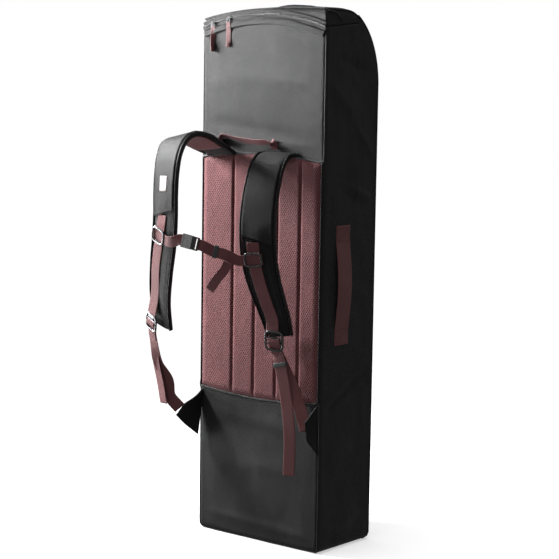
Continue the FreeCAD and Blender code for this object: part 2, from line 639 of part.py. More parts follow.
def make_shoulder_pad(side, stations):
    """Foam pad with its mesh lining underneath and its two bound edges."""
    line, widths = pad_line(stations)
    thick, lining, gap = size("pad_thick"), size("lining_thick"), size("layer_gap")
    binding = size("binding_wide")
    core = [wide - 2 * binding - 2 * gap for wide in widths]
    node(f"shoulder_pad_{side}", add_shape(f"shoulder_pad_{side}", strip(line, core, thick, thick / 4)))
    under = shifted(line, 0.0, -(thick + lining) / 2 - gap)
    node(f"pad_lining_{side}", add_shape(
        f"pad_lining_{side}", strip(under[1:], [wide - binding for wide in core[1:]], lining)))
    edges = []
    for sign in (-1, 1):
        offsets = [sign * (wide - binding) / 2 for wide in widths]
        edges.append(strip(shifted(line, offsets, 0.0), [binding] * len(line), thick * 0.9, binding / 4))
    node(f"pad_binding_{side}", add_shape(f"pad_binding_{side}", Part.makeCompound(edges)))


def layer_out(layers_below):
    """How far out from a pad's middle line a layer of webbing lies on it."""
    return size("pad_thick") / 2 + size("layer_gap") + size("web_thick") / 2 + layers_below * (
        size("web_thick") + size("layer_gap"))


def make_shoulder_webbing(side, stations, web, lock):
    """Webbing from under its cover down to the ladder lock's top bar."""
    start, across_by = web
    line, widths = pad_line(stations)
    last = len(line) - 1
    lying = shifted(line[start:last], across_by[:last - start], layer_out(0))
    centre, down, across, out = lock_frame(lock)
    bar = size("lock_rod")
    top = centre - down * (size("lock_tall") / 2 - bar + bar + size("layer_gap"))
    lying.append((top, across, out))
    node(f"shoulder_webbing_{side}", add_shape(
        f"shoulder_webbing_{side}", strip(lying, [size("shoulder_web")] * len(lying), size("web_thick"))))
    over = shifted(line, 0.0, layer_out(0))
    end_point = over[start][0]
    lift = (over[start - 1][0] - end_point) * 0.06
    cover = over[2:start] + [(end_point + lift, over[start][1], over[start][2])]
    shrink = 2 * size("binding_wide") + 2 * size("cover_inset")
    node(f"webbing_cover_{side}", add_shape(
        f"webbing_cover_{side}", strip(cover, [wide - shrink for wide in widths[2:start + 1]], size("web_thick"))))


def lock_frame(lock):
    """Centre, down, across and out directions of a ladder lock."""
    (across, out, below), down, yaw = lock
    centre = harness_point(across, out, below)
    turn = math.radians(yaw)
    down = unit(Vector(*down))
    hint = Vector(math.cos(turn), -math.sin(turn), 0)
    side = unit(hint - down * hint.dot(down))
    return centre, down, side, unit(down.cross(side))


def rod(start, end, radius):
    """A round bar with rounded ends between two places."""
    span = end - start
    bar = Part.makeCylinder(radius, span.Length, start, span)
    return bar.fuse([Part.makeSphere(radius, start), Part.makeSphere(radius, end)])


def make_ladder_lock(side, lock):
    """Frame with top, middle and bottom bars."""
    centre, down, across, _ = lock_frame(lock)
    radius = size("lock_rod")
    half_wide = size("lock_wide") / 2 - radius
    half_tall = size("lock_tall") / 2 - radius
    bars = [rod(centre + down * v - across * half_wide, centre + down * v + across * half_wide, radius)
            for v in (-half_tall, 0.0, half_tall)]
    rails = [rod(centre + across * u - down * half_tall, centre + across * u + down * half_tall, radius)
             for u in (-half_wide, half_wide)]
    frame = bars[0].fuse(bars[1:] + rails).removeSplitter()
    node(f"ladder_lock_{side}", add_shape(f"ladder_lock_{side}", frame))


def make_lower_webbing(side, sign, lock, fixed, tail, edge):
    """One length of webbing: wing, up behind the lock, round its middle bar, and down as a free tail."""
    centre, down, across, out = lock_frame(lock)
    radius, web, gap = size("lock_rod"), size("web_thick"), size("layer_gap")
    near = radius + gap + web / 2
    far = near + web + gap
    slot = size("lock_tall") / 2 - radius
    wrap = [(-far, slot + 2 * near), (-far, near), (-far * 0.93, -near * 0.8), (-near * 0.45, -near * 1.45),
            (near * 0.6, -near * 1.25), (near * 1.05, -near * 0.35), (near * 1.05, near * 0.5),
            (near * 0.3, slot * 0.5), (-near * 0.8, slot - near * 1.1), (-near, slot), (-near, slot + 2.4 * near)]
    points = [centre + out * u + down * v for u, v in wrap]
    hints = [across] * len(points)
    _, (top, low), tangent, facing = wing_frame(sign, edge)
    fixed_points = [Vector(x, -size("bag_deep") / 2 - o, z) for x, o, z in fixed]
    if facing.dot(fixed_points[-1] - (top + low) * 0.5) < 0:
        facing = facing * -1
    start = (top + low) * 0.5 + facing * (size("wing_thick") / 2 + (8 if sign < 0 else 4) * gap + web / 2) - tangent * web
    fixed_line = [start, *reversed(fixed_points)]
    flat = unit((fixed_points[-1] - start).cross(facing))
    if flat.dot(across) < 0:
        flat = flat * -1
    fixed_hints = [unit(flat * (1 - i / len(fixed_line)) + across * (i / len(fixed_line))) for i in range(len(fixed_line))]
    tail_points = [Vector(x, -size("bag_deep") / 2 - o, z) for x, o, z in tail]
    line = fixed_line + points + tail_points
    directions = fixed_hints + hints + [across] * len(tail_points)
    webbing(f"lower_webbing_{side}", line, directions, size("shoulder_web") - size("lock_slack"))


def ring(centre, along, across, out, hole_wide, hole_thick, length, wall):
    """A flat loop round webbing."""
    outer = [centre + across * u + out * v for u, v in (
        (-hole_wide / 2 - wall, -hole_thick / 2 - wall), (hole_wide / 2 + wall, -hole_thick / 2 - wall),
        (hole_wide / 2 + wall, hole_thick / 2 + wall), (-hole_wide / 2 - wall, hole_thick / 2 + wall))]
    inner = [centre + across * u + out * v for u, v in (
        (-hole_wide / 2, -hole_thick / 2), (hole_wide / 2, -hole_thick / 2),
        (hole_wide / 2, hole_thick / 2), (-hole_wide / 2, hole_thick / 2))]
    shift = along * (-length / 2)
    solids = []
    for corners in (outer, inner):
        wire = Part.makePolygon([p + shift for p in corners] + [corners[0] + shift])
        solids.append(Part.Face(wire).extrude(along * length))
    return solids[0].cut(solids[1])


def make_strap_keeper(tail):
    """Elastic keeper on the right tail."""
    a, b = [Vector(x, -size("bag_deep") / 2 - o, z) for x, o, z in tail[:2]]
    along = unit(b - a)
    _, _, across_hint, _ = lock_frame(RIGHT_LOCK)
    across = unit(across_hint - along * across_hint.dot(along))
    out = unit(along.cross(across))
    gap = size("layer_gap")
    shape = ring((a + b) * 0.5, along, across, out, size("shoulder_web") - size("lock_slack") + 2 * gap,
                 size("web_thick") + 2 * gap, size("keeper_long"), size("keeper_thick"))
    node("strap_keeper_right", add_shape("strap_keeper_right", shape))


def make_patch():
    """Plain rectangular patch on the left shoulder pad's cover."""
    line, _ = pad_line(LEFT_PAD)
    out_by = layer_out(1) - (size("web_thick") - size("patch_thick")) / 2
    upper, lower = shifted(line[6:8], 0.0, out_by)
    run = lower[0] - upper[0]
    ends = [(upper[0] + run * share, lower[1], lower[2]) for share in (0.2, 0.95)]
    node("plain_patch", add_shape("plain_patch", strip(ends, [size("patch_wide")] * 2, size("patch_thick"))))


# ---------------------------------------------------------------------------------------------
# Sternum strap
# ---------------------------------------------------------------------------------------------
def slider_seat(stations, station, web):
    """Where the sternum webbing crosses a shoulder's webbing: place, across, out."""
    start, across_by = web
    line, _ = pad_line(stations)
    return shifted(line[station:station + 1], float(across_by[station - start]), layer_out(1))[0]


def make_sternum_slider(side, seat):
    """Frame that holds the sternum webbing on the shoulder webbing."""
    point, across, out = seat
    up = unit(out.cross(across))
    radius = size("stern_frame_rod")
    centre = point + out * (size("web_thick") / 2 + 2 * size("layer_gap") + radius)
    half_wide = size("stern_frame_wide") / 2 - radius
    half_tall = size("stern_frame_tall") / 2 - radius
    corners = [centre + across * u + up * v for u, v in (
        (-half_wide, -half_tall), (half_wide, -half_tall), (half_wide, half_tall), (-half_wide, half_tall))]
    bars = [rod(a, b, radius) for a, b in zip(corners, corners[1:] + corners[:1])]
    node(f"sternum_slider_{side}", add_shape(f"sternum_slider_{side}", bars[0].fuse(bars[1:])))


def stern_points():
    """Middle line of the sternum strap between its sliders."""
    return [harness_point(*place) for place in STERN_PATH]


def buckle_frame():
    """Place and directions of the sternum buckle."""
    line = stern_points()
    along = unit(line[1] - line[0])
    up = unit(Vector(0, 0, 1) - along * along.z)
    return (line[0] + line[1]) * 0.5, along, up, unit(up.cross(along))


def slab(centre, along, up, out, long_range, up_range, out_range):
    """A box in the buckle's own directions."""
    (l0, l1), (u0, u1), (o0, o1) = long_range, up_range, out_range
    corners = [centre + along * l + up * u + out * o0 for l, u in ((l0, u0), (l1, u0), (l1, u1), (l0, u1))]
    return Part.Face(Part.makePolygon(corners + corners[:1])).extrude(out * (o1 - o0))


def make_buckle():
    """Side-release buckle: socket, plug and two sprung prongs."""
    centre, along, up, out = buckle_frame()
    tall, thick = size("buckle_tall") / 2, size("buckle_thick") / 2
    wall, gap = size("buckle_wall"), size("buckle_gap")
    socket, plug, prong = size("female_long"), size("male_long"), size("prong_long")

    def piece(*ranges):
        return slab(centre, along, up, out, *ranges)

    bar = 4.0
    female = piece((-socket, 0), (-tall, tall), (-thick, thick))
    cavity = piece((-prong - 2 * gap, 1), (-tall + wall, tall - wall), (-thick + wall, thick - wall))
    release = piece((-prong, -prong * 0.45), (-tall - 1, tall + 1), (-thick + wall, thick - wall))
    slot = piece((-socket + bar, -prong - 2 * gap - wall), (-stern_half(), stern_half()), (-thick - 1, thick + 1))
    node("buckle_socket", add_shape("buckle_socket", female.cut([cavity, release, slot])))

    male = piece((gap, plug), (-tall + gap, tall - gap), (-thick + gap, thick - gap))
    male_slot = piece((plug - bar - 5.0, plug - bar), (-stern_half(), stern_half()), (-thick - 1, thick + 1))
    stub = piece((-prong * 0.6, gap), (-3.0, 3.0), (-thick + wall + gap, thick - wall - gap))
    node("buckle_plug", add_shape("buckle_plug", male.cut(male_slot).fuse(stub).removeSplitter()))

    reach = tall - wall - gap
    for name, low, high in (("upper", reach - 6.0, reach), ("lower", -reach, -reach + 6.0)):
        arm = piece((-prong, 0.0), (low, high), (-thick + wall + gap, thick - wall - gap))
        node(f"buckle_prong_{name}", add_shape(f"buckle_prong_{name}", arm))


def stern_half():
    """Half the sternum webbing's width, with its running gap."""
    return size("stern_wide") / 2 + size("layer_gap")


def make_sternum_webbing(left_seat, right_seat):
    """Short left webbing, long right webbing, its hanging tail and its keeper."""
    line = stern_points()
    centre, along, up, _ = buckle_frame()
    web, wide, gap = size("web_thick"), size("stern_wide"), size("layer_gap")
    vertical = Vector(0, 0, 1)
    reach = size("stern_frame_wide") / 2

    seat, across, out = left_seat
    flat = unit(out.cross(across))
    socket_end = centre - along * (size("female_long") + gap)
    left = [seat - across * reach, seat, seat + across * size("left_edge"), socket_end - along * web, socket_end]
    webbing("sternum_webbing_left", left, [flat, flat, flat, up, up], wide)

    seat, across, out = right_seat
    flat = unit(out.cross(across))
    plug_end = centre + along * (size("male_long") + gap)
    right = [plug_end, plug_end + along * reach * 0.3, *line[2:], seat - across * size("right_edge"), seat,
             seat + across * reach]
    webbing("sternum_webbing_right", right, [up, up, vertical, vertical, flat, flat, flat], wide)

    tail = [harness_point(*place) for place in STERN_TAIL]
    tail_hints = [Vector(0.72, 0.69, 0), Vector(0.9, 0.4, 0), Vector(0.95, 0.3, 0.3), Vector(1, 0.2, 0.4)]
    webbing("sternum_tail", tail, tail_hints, wide - size("tail_slack"))

    a, b = line[2], line[3]
    direction = unit(b - a)
    across = unit(vertical - direction * direction.z)
    facing = unit(direction.cross(across))
    node("sternum_keeper", add_shape("sternum_keeper", ring(
        a + (b - a) * 0.3, direction, across, facing, wide + 2 * gap, web + 2 * gap, size("keeper_long"),
        size("keeper_thick"))))


def make_harness():
    """Both shoulders and what hangs on them."""
    for side, sign, stations, web, lock, fixed, tail, edge in (
            ("left", -1, LEFT_PAD, LEFT_WEB, LEFT_LOCK, LEFT_FIXED, LEFT_TAIL, LEFT_WING_EDGE),
            ("right", 1, RIGHT_PAD, RIGHT_WEB, RIGHT_LOCK, RIGHT_FIXED, RIGHT_TAIL, RIGHT_WING_EDGE)):
        make_shoulder_pad(side, stations)
        make_shoulder_webbing(side, stations, web, lock)
        make_ladder_lock(side, lock)
        make_wing(side, sign, edge)
        make_lower_webbing(side, sign, lock, fixed, tail, edge)
    make_patch()
    make_strap_keeper(RIGHT_TAIL)
    left_seat = slider_seat(LEFT_PAD, LEFT_SLIDER_STATION, LEFT_WEB)
    right_seat = slider_seat(RIGHT_PAD, RIGHT_SLIDER_STATION, RIGHT_WEB)
    make_sternum_slider("left", left_seat)
    make_sternum_slider("right", right_seat)
    make_buckle()
    make_sternum_webbing(left_seat, right_seat)


def check_and_write():
    """Stop on any failed object, then write each sub-part."""
    DOC.recompute()
    failed = [o.Label for o in DOC.Objects if "Invalid" in o.State or "Error" in o.State]
    if failed:
        raise RuntimeError(f"failed objects: {failed}")
    os.makedirs("parts", exist_ok=True)
    for obj in NODES:
        shape = obj.Shape
        if shape.isNull() or not shape.isValid() or not shape.Solids:
            raise RuntimeError(f"bad shape: {obj.Label}")
        shape.exportStep(f"parts/{obj.Label}.step")
        print(f"{obj.Label}: {len(shape.Solids)} solid, {shape.Volume / 1000.0:.1f} cm3")


make_shell()
make_base_board()
make_back_pad()
make_piping()
make_front_zip()
make_slider(1, size("slider_1_from_middle"))
make_slider(2, size("slider_2_from_middle"))
make_side_zip()
make_haul_handle()
make_grab_handle()
make_inner_straps()
make_harness()
check_and_write()
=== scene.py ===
"""Looks of a tall snowboard bag that stands upright with its folding harness towards the viewer.

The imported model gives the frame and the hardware. This file builds the cloth, foam, webbing and zips
around it, dresses every piece, and sets the studio and the camera. All sizes here are in millimetres
until a mesh is written, which is in metres.
"""

import logging
import math
from collections.abc import Callable, Iterable
from dataclasses import dataclass, field
from enum import Enum

import bpy
import numpy as np
from mathutils import Matrix, Vector, noise

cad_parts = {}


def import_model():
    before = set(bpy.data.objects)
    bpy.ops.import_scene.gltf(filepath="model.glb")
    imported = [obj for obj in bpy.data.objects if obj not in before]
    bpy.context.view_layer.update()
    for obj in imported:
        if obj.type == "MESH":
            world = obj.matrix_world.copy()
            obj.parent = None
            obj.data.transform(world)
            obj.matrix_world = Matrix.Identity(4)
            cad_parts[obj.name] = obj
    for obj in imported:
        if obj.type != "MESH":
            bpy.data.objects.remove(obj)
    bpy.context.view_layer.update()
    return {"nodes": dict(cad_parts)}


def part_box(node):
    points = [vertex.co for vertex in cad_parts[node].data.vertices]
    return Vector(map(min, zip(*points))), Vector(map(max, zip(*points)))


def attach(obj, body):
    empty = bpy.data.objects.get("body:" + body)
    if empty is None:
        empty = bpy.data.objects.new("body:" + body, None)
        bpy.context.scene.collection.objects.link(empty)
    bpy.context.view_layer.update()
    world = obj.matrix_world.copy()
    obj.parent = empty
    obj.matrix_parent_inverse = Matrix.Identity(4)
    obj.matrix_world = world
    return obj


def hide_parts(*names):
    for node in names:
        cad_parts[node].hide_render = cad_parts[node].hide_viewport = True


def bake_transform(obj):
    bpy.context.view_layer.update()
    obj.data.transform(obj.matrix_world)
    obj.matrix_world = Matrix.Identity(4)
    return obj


LOG = logging.getLogger("snowboard_bag")
MM = 0.001
LAY = "lay"

HALF_WIDE = 220.0
HALF_DEEP = 120.0
ARCH_CENTRE_Z = 788.0
ZIP_RADIUS = 690.0
CROWN_RADIUS = 1877.0
CROWN_SHIFT_X = 110.0
BAG_TALL = 1500.0
TOP_FLAT_Y = -50.0
SHOULDER_Z = 1275.0
SHOULDER_DEEP = 170.0
SHOULDER_TALL = 225.0
HINGE_Y = 24.0
PAD_TOP_Z = 1080.0
PAD_LOW_Z = 423.0

Frames = tuple[tuple[float, ...], ...]
# Stations given in millimetres. Places are across from the bag's middle, out from its front face
# and below the shoulder pads' sewn root; then come the width, and the yaw and roll in degrees.
LEFT_PAD = [
    (-150, 3.3, 0, 116, 0, 0), (-150, 48, -19, 110, 0, 7), (-154, 104, -42, 108, 0, 12),
    (-155, 150, -47, 108, 0, 13), (-154, 187, -34, 108, 5, 9), (-152, 210, 0, 108, 11, 4),
    (-150, 222, 47, 108, 13, 0), (-149, 227, 102, 108, 13, 0), (-149, 227, 162, 108, 13, 0),
    (-154, 225, 222, 107, 13, 0), (-182, 207, 317, 100, 14, 0), (-208, 183, 402, 92, 15, 0),
    (-222, 156, 482, 84, 15, 0),
]
RIGHT_PAD = [
    (67, 1.4, -5, 124, 0, 0), (67, 28, -3, 114, -3, 0), (67, 52, 20, 110, -8, 0),
    (70, 76, 70, 108, -12, 0), (76, 97, 127, 108, -15, 0), (84, 112, 187, 108, -15, 0),
    (90, 118, 227, 108, -15, 0), (92, 114, 272, 107, -15, 0), (95, 98, 332, 103, -15, 0),
    (98, 72, 392, 96, -15, 0), (99, 46, 446, 88, -15, 0), (100, 30, 490, 80, -15, 0),
]
# Shoulder webbing: the pad's station where it comes out, and how far it lies across the pad from there on
LEFT_WEB = (8, [-2, -12, -16, -16])
RIGHT_WEB = (6, [-12, -12, -10, -9, -9])

# Ladder locks: centre (across, out, below the root), downward direction, yaw of the bars
LEFT_LOCK = ((-252, 172, 474), (-0.32, 0.30, -1.0), 15)
RIGHT_LOCK = ((93, 47, 504), (0.10, 0.20, -1.0), -15)

# Wings: the free edge's two ends (in from the bag's corner, out, height)
LEFT_WING_EDGE = ((12, 80, 376), (-14, 85, 344))
RIGHT_WING_EDGE = ((22, 18, 366), (45, 22, 326))

# Lower webbing after the lock: (across from the bag's middle, out, height), then the free tail
LEFT_FIXED = [(-260, 148, 540), (-266, 126, 492), (-247, 108, 446), (-249, 97, 398)]
LEFT_TAIL = [(-268, 142, 540), (-274, 126, 490), (-270, 115, 440), (-264, 106, 376)]
RIGHT_FIXED = [(108, 26, 520), (132, 17, 470), (156, 13, 415)]
RIGHT_TAIL = [(104, 38, 540), (112, 37, 506), (126, 32, 430), (138, 28, 320), (134, 25, 214)]

# Grab handle: (across from the harness's middle, out, above the root)
GRAB_MIDDLE = -45
GRAB_PATH = [(-90, 1.8, 14), (-93, 8, 32), (-82, 18, 46), (-24, 19, 40), (38, 17, 36), (80, 15, 36),
             (92, 8, 33), (90, 1.8, 18)]
GRAB_TURN = [(1, 0, 0), (0.9, -0.4, 0), (0.35, -0.8, 0.4), (0, -0.8, 0.6), (0, -0.8, 0.6), (-0.35, -0.8, 0.4),
             (-0.9, -0.4, 0), (-1, 0, 0)]

# Sternum strap between its sliders, and its hanging tail: (across from the bag's middle, out, below the root)
STERN_PATH = [(-85, 240, 224), (-20, 212, 240), (-8, 193, 253), (15, 170, 262)]
STERN_TAIL = [(22, 161, 284.5), (14, 165, 303), (-12, 170, 334), (-36, 170, 364)]
STERN_TAIL_TURN = [(0.72, 0.69, 0), (0.9, 0.4, 0), (0.95, 0.3, 0.3), (1, 0.2, 0.4)]
# Station of each pad that its sternum slider sits on
LEFT_SLIDER_STATION = 9
RIGHT_SLIDER_STATION = 7

@dataclass(frozen=True)
class Station:
    """One place on a band's middle line, with its across and outward directions."""

    place: Vector
    across: Vector
    out: Vector


@dataclass(frozen=True)
class StrapRoutes:
    """Middle lines of every band, worked out from the stations and these sizes in millimetres."""

    root_z: float = 1092.0
    layer_gap: float = 0.4
    web_thick: float = 1.8
    pad_thick: float = 13.0
    lining_thick: float = 1.6
    binding_wide: float = 5.0
    cover_inset: float = 4.0
    patch_wide: float = 34.0
    patch_thick: float = 1.0
    shoulder_web: float = 38.0
    lower_web: float = 36.0
    sternum_web: float = 30.0
    sternum_tail_web: float = 26.0
    grab_wide: float = 25.0
    haul_wide: float = 62.0
    haul_long: float = 330.0
    haul_sewn: float = 48.0
    haul_bow: float = 8.0
    haul_place: tuple[float, float] = (-32.0, 742.0)
    seam_gap: float = 0.3
    wing_seam: float = 6.0
    wing_rise: tuple[float, float] = (414.0, 280.0)
    wing_thick: float = 3.0
    lock_rod: float = 2.4
    lock_tall: float = 52.0
    slider_wide: float = 54.0
    buckle_halves: tuple[float, float] = (28.0, 20.0)
    sternum_edges: tuple[float, float] = (60.0, 48.0)

    def place(self, across: float, out: float, below: float) -> Vector:
        """A place given from the bag's middle, its front face and the pads' root."""
        return Vector((across, -HALF_DEEP - out, self.root_z - below))

    @staticmethod
    def line(points: list[Vector], hints: list[Vector]) -> list[Station]:
        """Stations through points, each with its across direction as near its hint as the line allows."""
        last = len(points) - 1
        stations = []
        for i, (point, hint) in enumerate(zip(points, hints)):
            along = (points[min(i + 1, last)] - points[max(i - 1, 0)]).normalized()
            across = (hint - along * hint.dot(along)).normalized()
            stations.append(Station(point, across, along.cross(across).normalized()))
        return stations

    @staticmethod
    def moved(line: list[Station], across_by: list[float], out_by: float) -> list[Station]:
        """A line moved across, by one distance for each station, and outwards."""
        return [
            Station(s.place + s.across * by + s.out * out_by, s.across, s.out)
            for s, by in zip(line, across_by)
        ]

    @staticmethod
    def rows(line: list[Station], widths: list[float]) -> Frames:
        """The rows that a Band takes."""
        return tuple((*s.place, *s.across, wide) for s, wide in zip(line, widths))

    def strap(self, points: list[Vector], hints: list[Vector], wide: float) -> Frames:
        """Rows of a strap of one width."""
        return self.rows(self.line(points, hints), [wide] * len(points))

    def pad_line(self, stations: list[tuple[float, ...]]) -> tuple[list[Station], list[float]]:
        """Middle line and widths of a shoulder pad."""
        points, hints = [], []
        for across, out, below, _, yaw, roll in stations:
            turn, lean = math.radians(yaw), math.radians(roll)
            points.append(self.place(across, out, below))
            hints.append(Vector((math.cos(turn) * math.cos(lean), -math.sin(turn), math.sin(lean))))
        return self.line(points, hints), [float(station[3]) for station in stations]

    def layer_out(self, below: int) -> float:
        """How far a layer of webbing lies from a pad's middle, over this many other layers."""
        step = self.web_thick + self.layer_gap
        return self.pad_thick / 2 + self.layer_gap + self.web_thick / 2 + below * step

    def lock_axes(self, lock: tuple[tuple[float, ...], tuple[float, ...], float]) -> tuple[Vector, ...]:
        """Centre, down, across and out directions of a ladder lock."""
        place, slope, yaw = lock
        turn = math.radians(yaw)
        down = Vector(slope).normalized()
        hint = Vector((math.cos(turn), -math.sin(turn), 0))
        across = (hint - down * hint.dot(down)).normalized()
        return self.place(*place), down, across, down.cross(across).normalized()

    def handles(self) -> dict[str, Frames]:
        """The haul handle on the right side and the grab handle."""
        half, sewn, bow = self.haul_long / 2, self.haul_sewn, self.haul_bow
        face, (y, middle) = HALF_WIDE + self.seam_gap + self.web_thick / 2, self.haul_place
        stops = ((half, 0), (half - sewn, 0), (half - 1.6 * sewn, 0.45 * bow), (half / 4, bow))
        climb = [(-up, out) for up, out in stops] + list(reversed(stops))
        haul = [Vector((face + out, y, middle + up)) for up, out in climb]
        grab = [self.place(GRAB_MIDDLE + x, out, -up) for x, out, up in GRAB_PATH]
        return {
            "haul_handle": self.strap(haul, [Vector((0, 1, 0))] * len(haul), self.haul_wide),
            "grab_handle": self.strap(grab, [Vector(turn) for turn in GRAB_TURN], self.grab_wide),
        }

    def pad(self, side: str, stations: list[tuple[float, ...]]) -> dict[str, Frames]:
        """A pad's core, lining and two bound edges."""
        line, widths = self.pad_line(stations)
        core = [wide - 2 * self.binding_wide - 2 * self.layer_gap for wide in widths]
        below = (self.pad_thick + self.lining_thick) / 2 + self.layer_gap
        under = self.moved(line, [0.0] * len(line), -below)
        found = {
            f"pad_{side}": self.rows(line, core),
            f"lining_{side}": self.rows(under[1:], [wide - self.binding_wide for wide in core[1:]]),
        }
        for name, sign in (("outer", -1), ("inner", 1)) if side == "left" else (("inner", -1), ("outer", 1)):
            edge = self.moved(line, [sign * (wide - self.binding_wide) / 2 for wide in widths], 0.0)
            found[f"binding_{side}_{name}"] = self.rows(edge, [self.binding_wide] * len(line))
        return found

    def pad_webbing(self, side: str, stations: list[tuple[float, ...]], web: tuple[int, list[float]],
                    lock: tuple[tuple[float, ...], tuple[float, ...], float]) -> dict[str, Frames]:
        """Webbing down a pad to its lock, and the cloth cover over its head."""
        start, across_by = web
        line, widths = self.pad_line(stations)
        lying = self.moved(line[start:-1], across_by, self.layer_out(0))
        centre, down, across, out = self.lock_axes(lock)
        lying.append(Station(centre - down * (self.lock_tall / 2 + self.layer_gap), across, out))
        over = self.moved(line, [0.0] * len(line), self.layer_out(0))
        end = over[start]
        lift = (over[start - 1].place - end.place) * 0.06
        cover = over[2:start] + [Station(end.place + lift, end.across, end.out)]
        shrink = 2 * (self.binding_wide + self.cover_inset)
        return {
            f"shoulder_webbing_{side}": self.rows(lying, [self.shoulder_web] * len(lying)),
            f"webbing_cover_{side}": self.rows(cover, [wide - shrink for wide in widths[2:start + 1]]),
        }

    def wing_axes(self, sign: int, edge: tuple[tuple[float, ...], ...]) -> tuple[Vector, ...]:
        """Top and foot of a wing's free edge, the way that it runs and the way that it faces."""
        top, low = (Vector((sign * (HALF_WIDE - inset), -HALF_DEEP - out, up)) for inset, out, up in edge)
        seam_x = sign * (HALF_WIDE - self.wing_seam)
        seam = Vector((seam_x, -HALF_DEEP - self.seam_gap, sum(self.wing_rise) / 2))
        along = ((top + low) * 0.5 - seam).normalized()
        return top, low, along, along.cross(top - low).normalized()

    def lower_webbing(self, side: str, sign: int, lock: tuple[tuple[float, ...], tuple[float, ...], float],
                      fixed: list[tuple[float, ...]], tail: list[tuple[float, ...]],
                      edge: tuple[tuple[float, ...], ...]) -> dict[str, Frames]:
        """Webbing from the wing up behind the lock, round its middle bar and down as a free tail."""
        centre, down, across, out = self.lock_axes(lock)
        near = self.lock_rod + self.layer_gap + self.web_thick / 2
        far = near + self.web_thick + self.layer_gap
        slot = self.lock_tall / 2 - self.lock_rod
        wrap = (
            (-far, slot + 2 * near), (-far, near), (-far * 0.93, -near * 0.8), (-near * 0.45, -near * 1.45),
            (near * 0.6, -near * 1.25), (near * 1.05, -near * 0.35), (near * 1.05, near * 0.5),
            (near * 0.3, slot * 0.5), (-near * 0.8, slot - near * 1.1), (-near, slot),
            (-near, slot + 2.4 * near),
        )
        round_bar = [centre + out * u + down * v for u, v in wrap]
        top, low, along, facing = self.wing_axes(sign, edge)
        run = [Vector((x, -HALF_DEEP - o, z)) for x, o, z in reversed(fixed)]
        middle = (top + low) * 0.5
        if facing.dot(run[0] - middle) < 0:
            facing = -facing
        clear = self.wing_thick / 2 + (8 if sign < 0 else 4) * self.layer_gap + self.web_thick / 2
        start = middle + facing * clear - along * self.web_thick
        flat = (run[0] - start).cross(facing).normalized()
        if flat.dot(across) < 0:
            flat = -flat
        run = [start, *run]
        hints = [(flat * (1 - i / len(run)) + across * (i / len(run))).normalized() for i in range(len(run))]
        free = [Vector((x, -HALF_DEEP - o, z)) for x, o, z in tail]
        hints += [across] * (len(round_bar) + len(free))
        return {f"lower_webbing_{side}": self.strap(run + round_bar + free, hints, self.lower_web)}

    def patch(self) -> dict[str, Frames]:
        """The plain patch on the left pad's cover."""
        line, _ = self.pad_line(LEFT_PAD)
        out_by = self.layer_out(1) - (self.web_thick - self.patch_thick) / 2
        upper, lower = self.moved(line[6:8], [0.0, 0.0], out_by)
        run = lower.place - upper.place
        ends = [Station(upper.place + run * share, lower.across, lower.out) for share in (0.2, 0.95)]
        return {"patch": self.rows(ends, [self.patch_wide] * 2)}

    def seat(self, stations: list[tuple[float, ...]], station: int, web: tuple[int, list[float]]) -> Station:
        """Where the sternum webbing crosses a pad's webbing."""
        start, across_by = web
        line, _ = self.pad_line(stations)
        return self.moved(line[station:station + 1], [across_by[station - start]], self.layer_out(1))[0]

    def sternum(self) -> dict[str, Frames]:
        """Both sternum straps and the hanging tail."""
        path = [self.place(*place) for place in STERN_PATH]
        along = (path[1] - path[0]).normalized()
        upright = Vector((0, 0, 1))
        up = (upright - along * along.z).normalized()
        centre, reach = (path[0] + path[1]) * 0.5, self.slider_wide / 2
        socket, plug = (half + self.layer_gap for half in self.buckle_halves)
        seat = self.seat(LEFT_PAD, LEFT_SLIDER_STATION, LEFT_WEB)
        flat, across = seat.out.cross(seat.across).normalized(), seat.across
        end = centre - along * socket
        left = [seat.place - across * reach, seat.place, seat.place + across * self.sternum_edges[0],
                end - along * self.web_thick, end]
        found = {"sternum_webbing_left": self.strap(left, [flat, flat, flat, up, up], self.sternum_web)}
        seat = self.seat(RIGHT_PAD, RIGHT_SLIDER_STATION, RIGHT_WEB)
        flat, across = seat.out.cross(seat.across).normalized(), seat.across
        end = centre + along * plug
        right = [end, end + along * reach * 0.3, *path[2:], seat.place - across * self.sternum_edges[1],
                 seat.place, seat.place + across * reach]
        found["sternum_webbing_right"] = self.strap(right, [up, up, upright, upright, flat, flat, flat],
                                                    self.sternum_web)
        tail = [self.place(*place) for place in STERN_TAIL]
        turns = [Vector(turn) for turn in STERN_TAIL_TURN]
        found["sternum_tail"] = self.strap(tail, turns, self.sternum_tail_web)
        return found

    def lines(self) -> dict[str, Frames]:
        """Every band's rows, by name."""
        found = self.handles()
        for side, sign, stations, web, lock, fixed, tail, edge in (
                ("left", -1, LEFT_PAD, LEFT_WEB, LEFT_LOCK, LEFT_FIXED, LEFT_TAIL, LEFT_WING_EDGE),
                ("right", 1, RIGHT_PAD, RIGHT_WEB, RIGHT_LOCK, RIGHT_FIXED, RIGHT_TAIL, RIGHT_WING_EDGE)):
            found |= self.pad(side, stations) | self.pad_webbing(side, stations, web, lock)
            found |= self.lower_webbing(side, sign, lock, fixed, tail, edge)
        return found | self.patch() | self.sternum()


LINES = StrapRoutes().lines()


# ---------------------------------------------------------------------------------------------
# Mesh making
# ---------------------------------------------------------------------------------------------
def unit_rows(rows: np.ndarray) -> np.ndarray:
    """Each row scaled to length one."""
    return rows / np.maximum(np.linalg.norm(rows, axis=-1, keepdims=True), 1e-9)


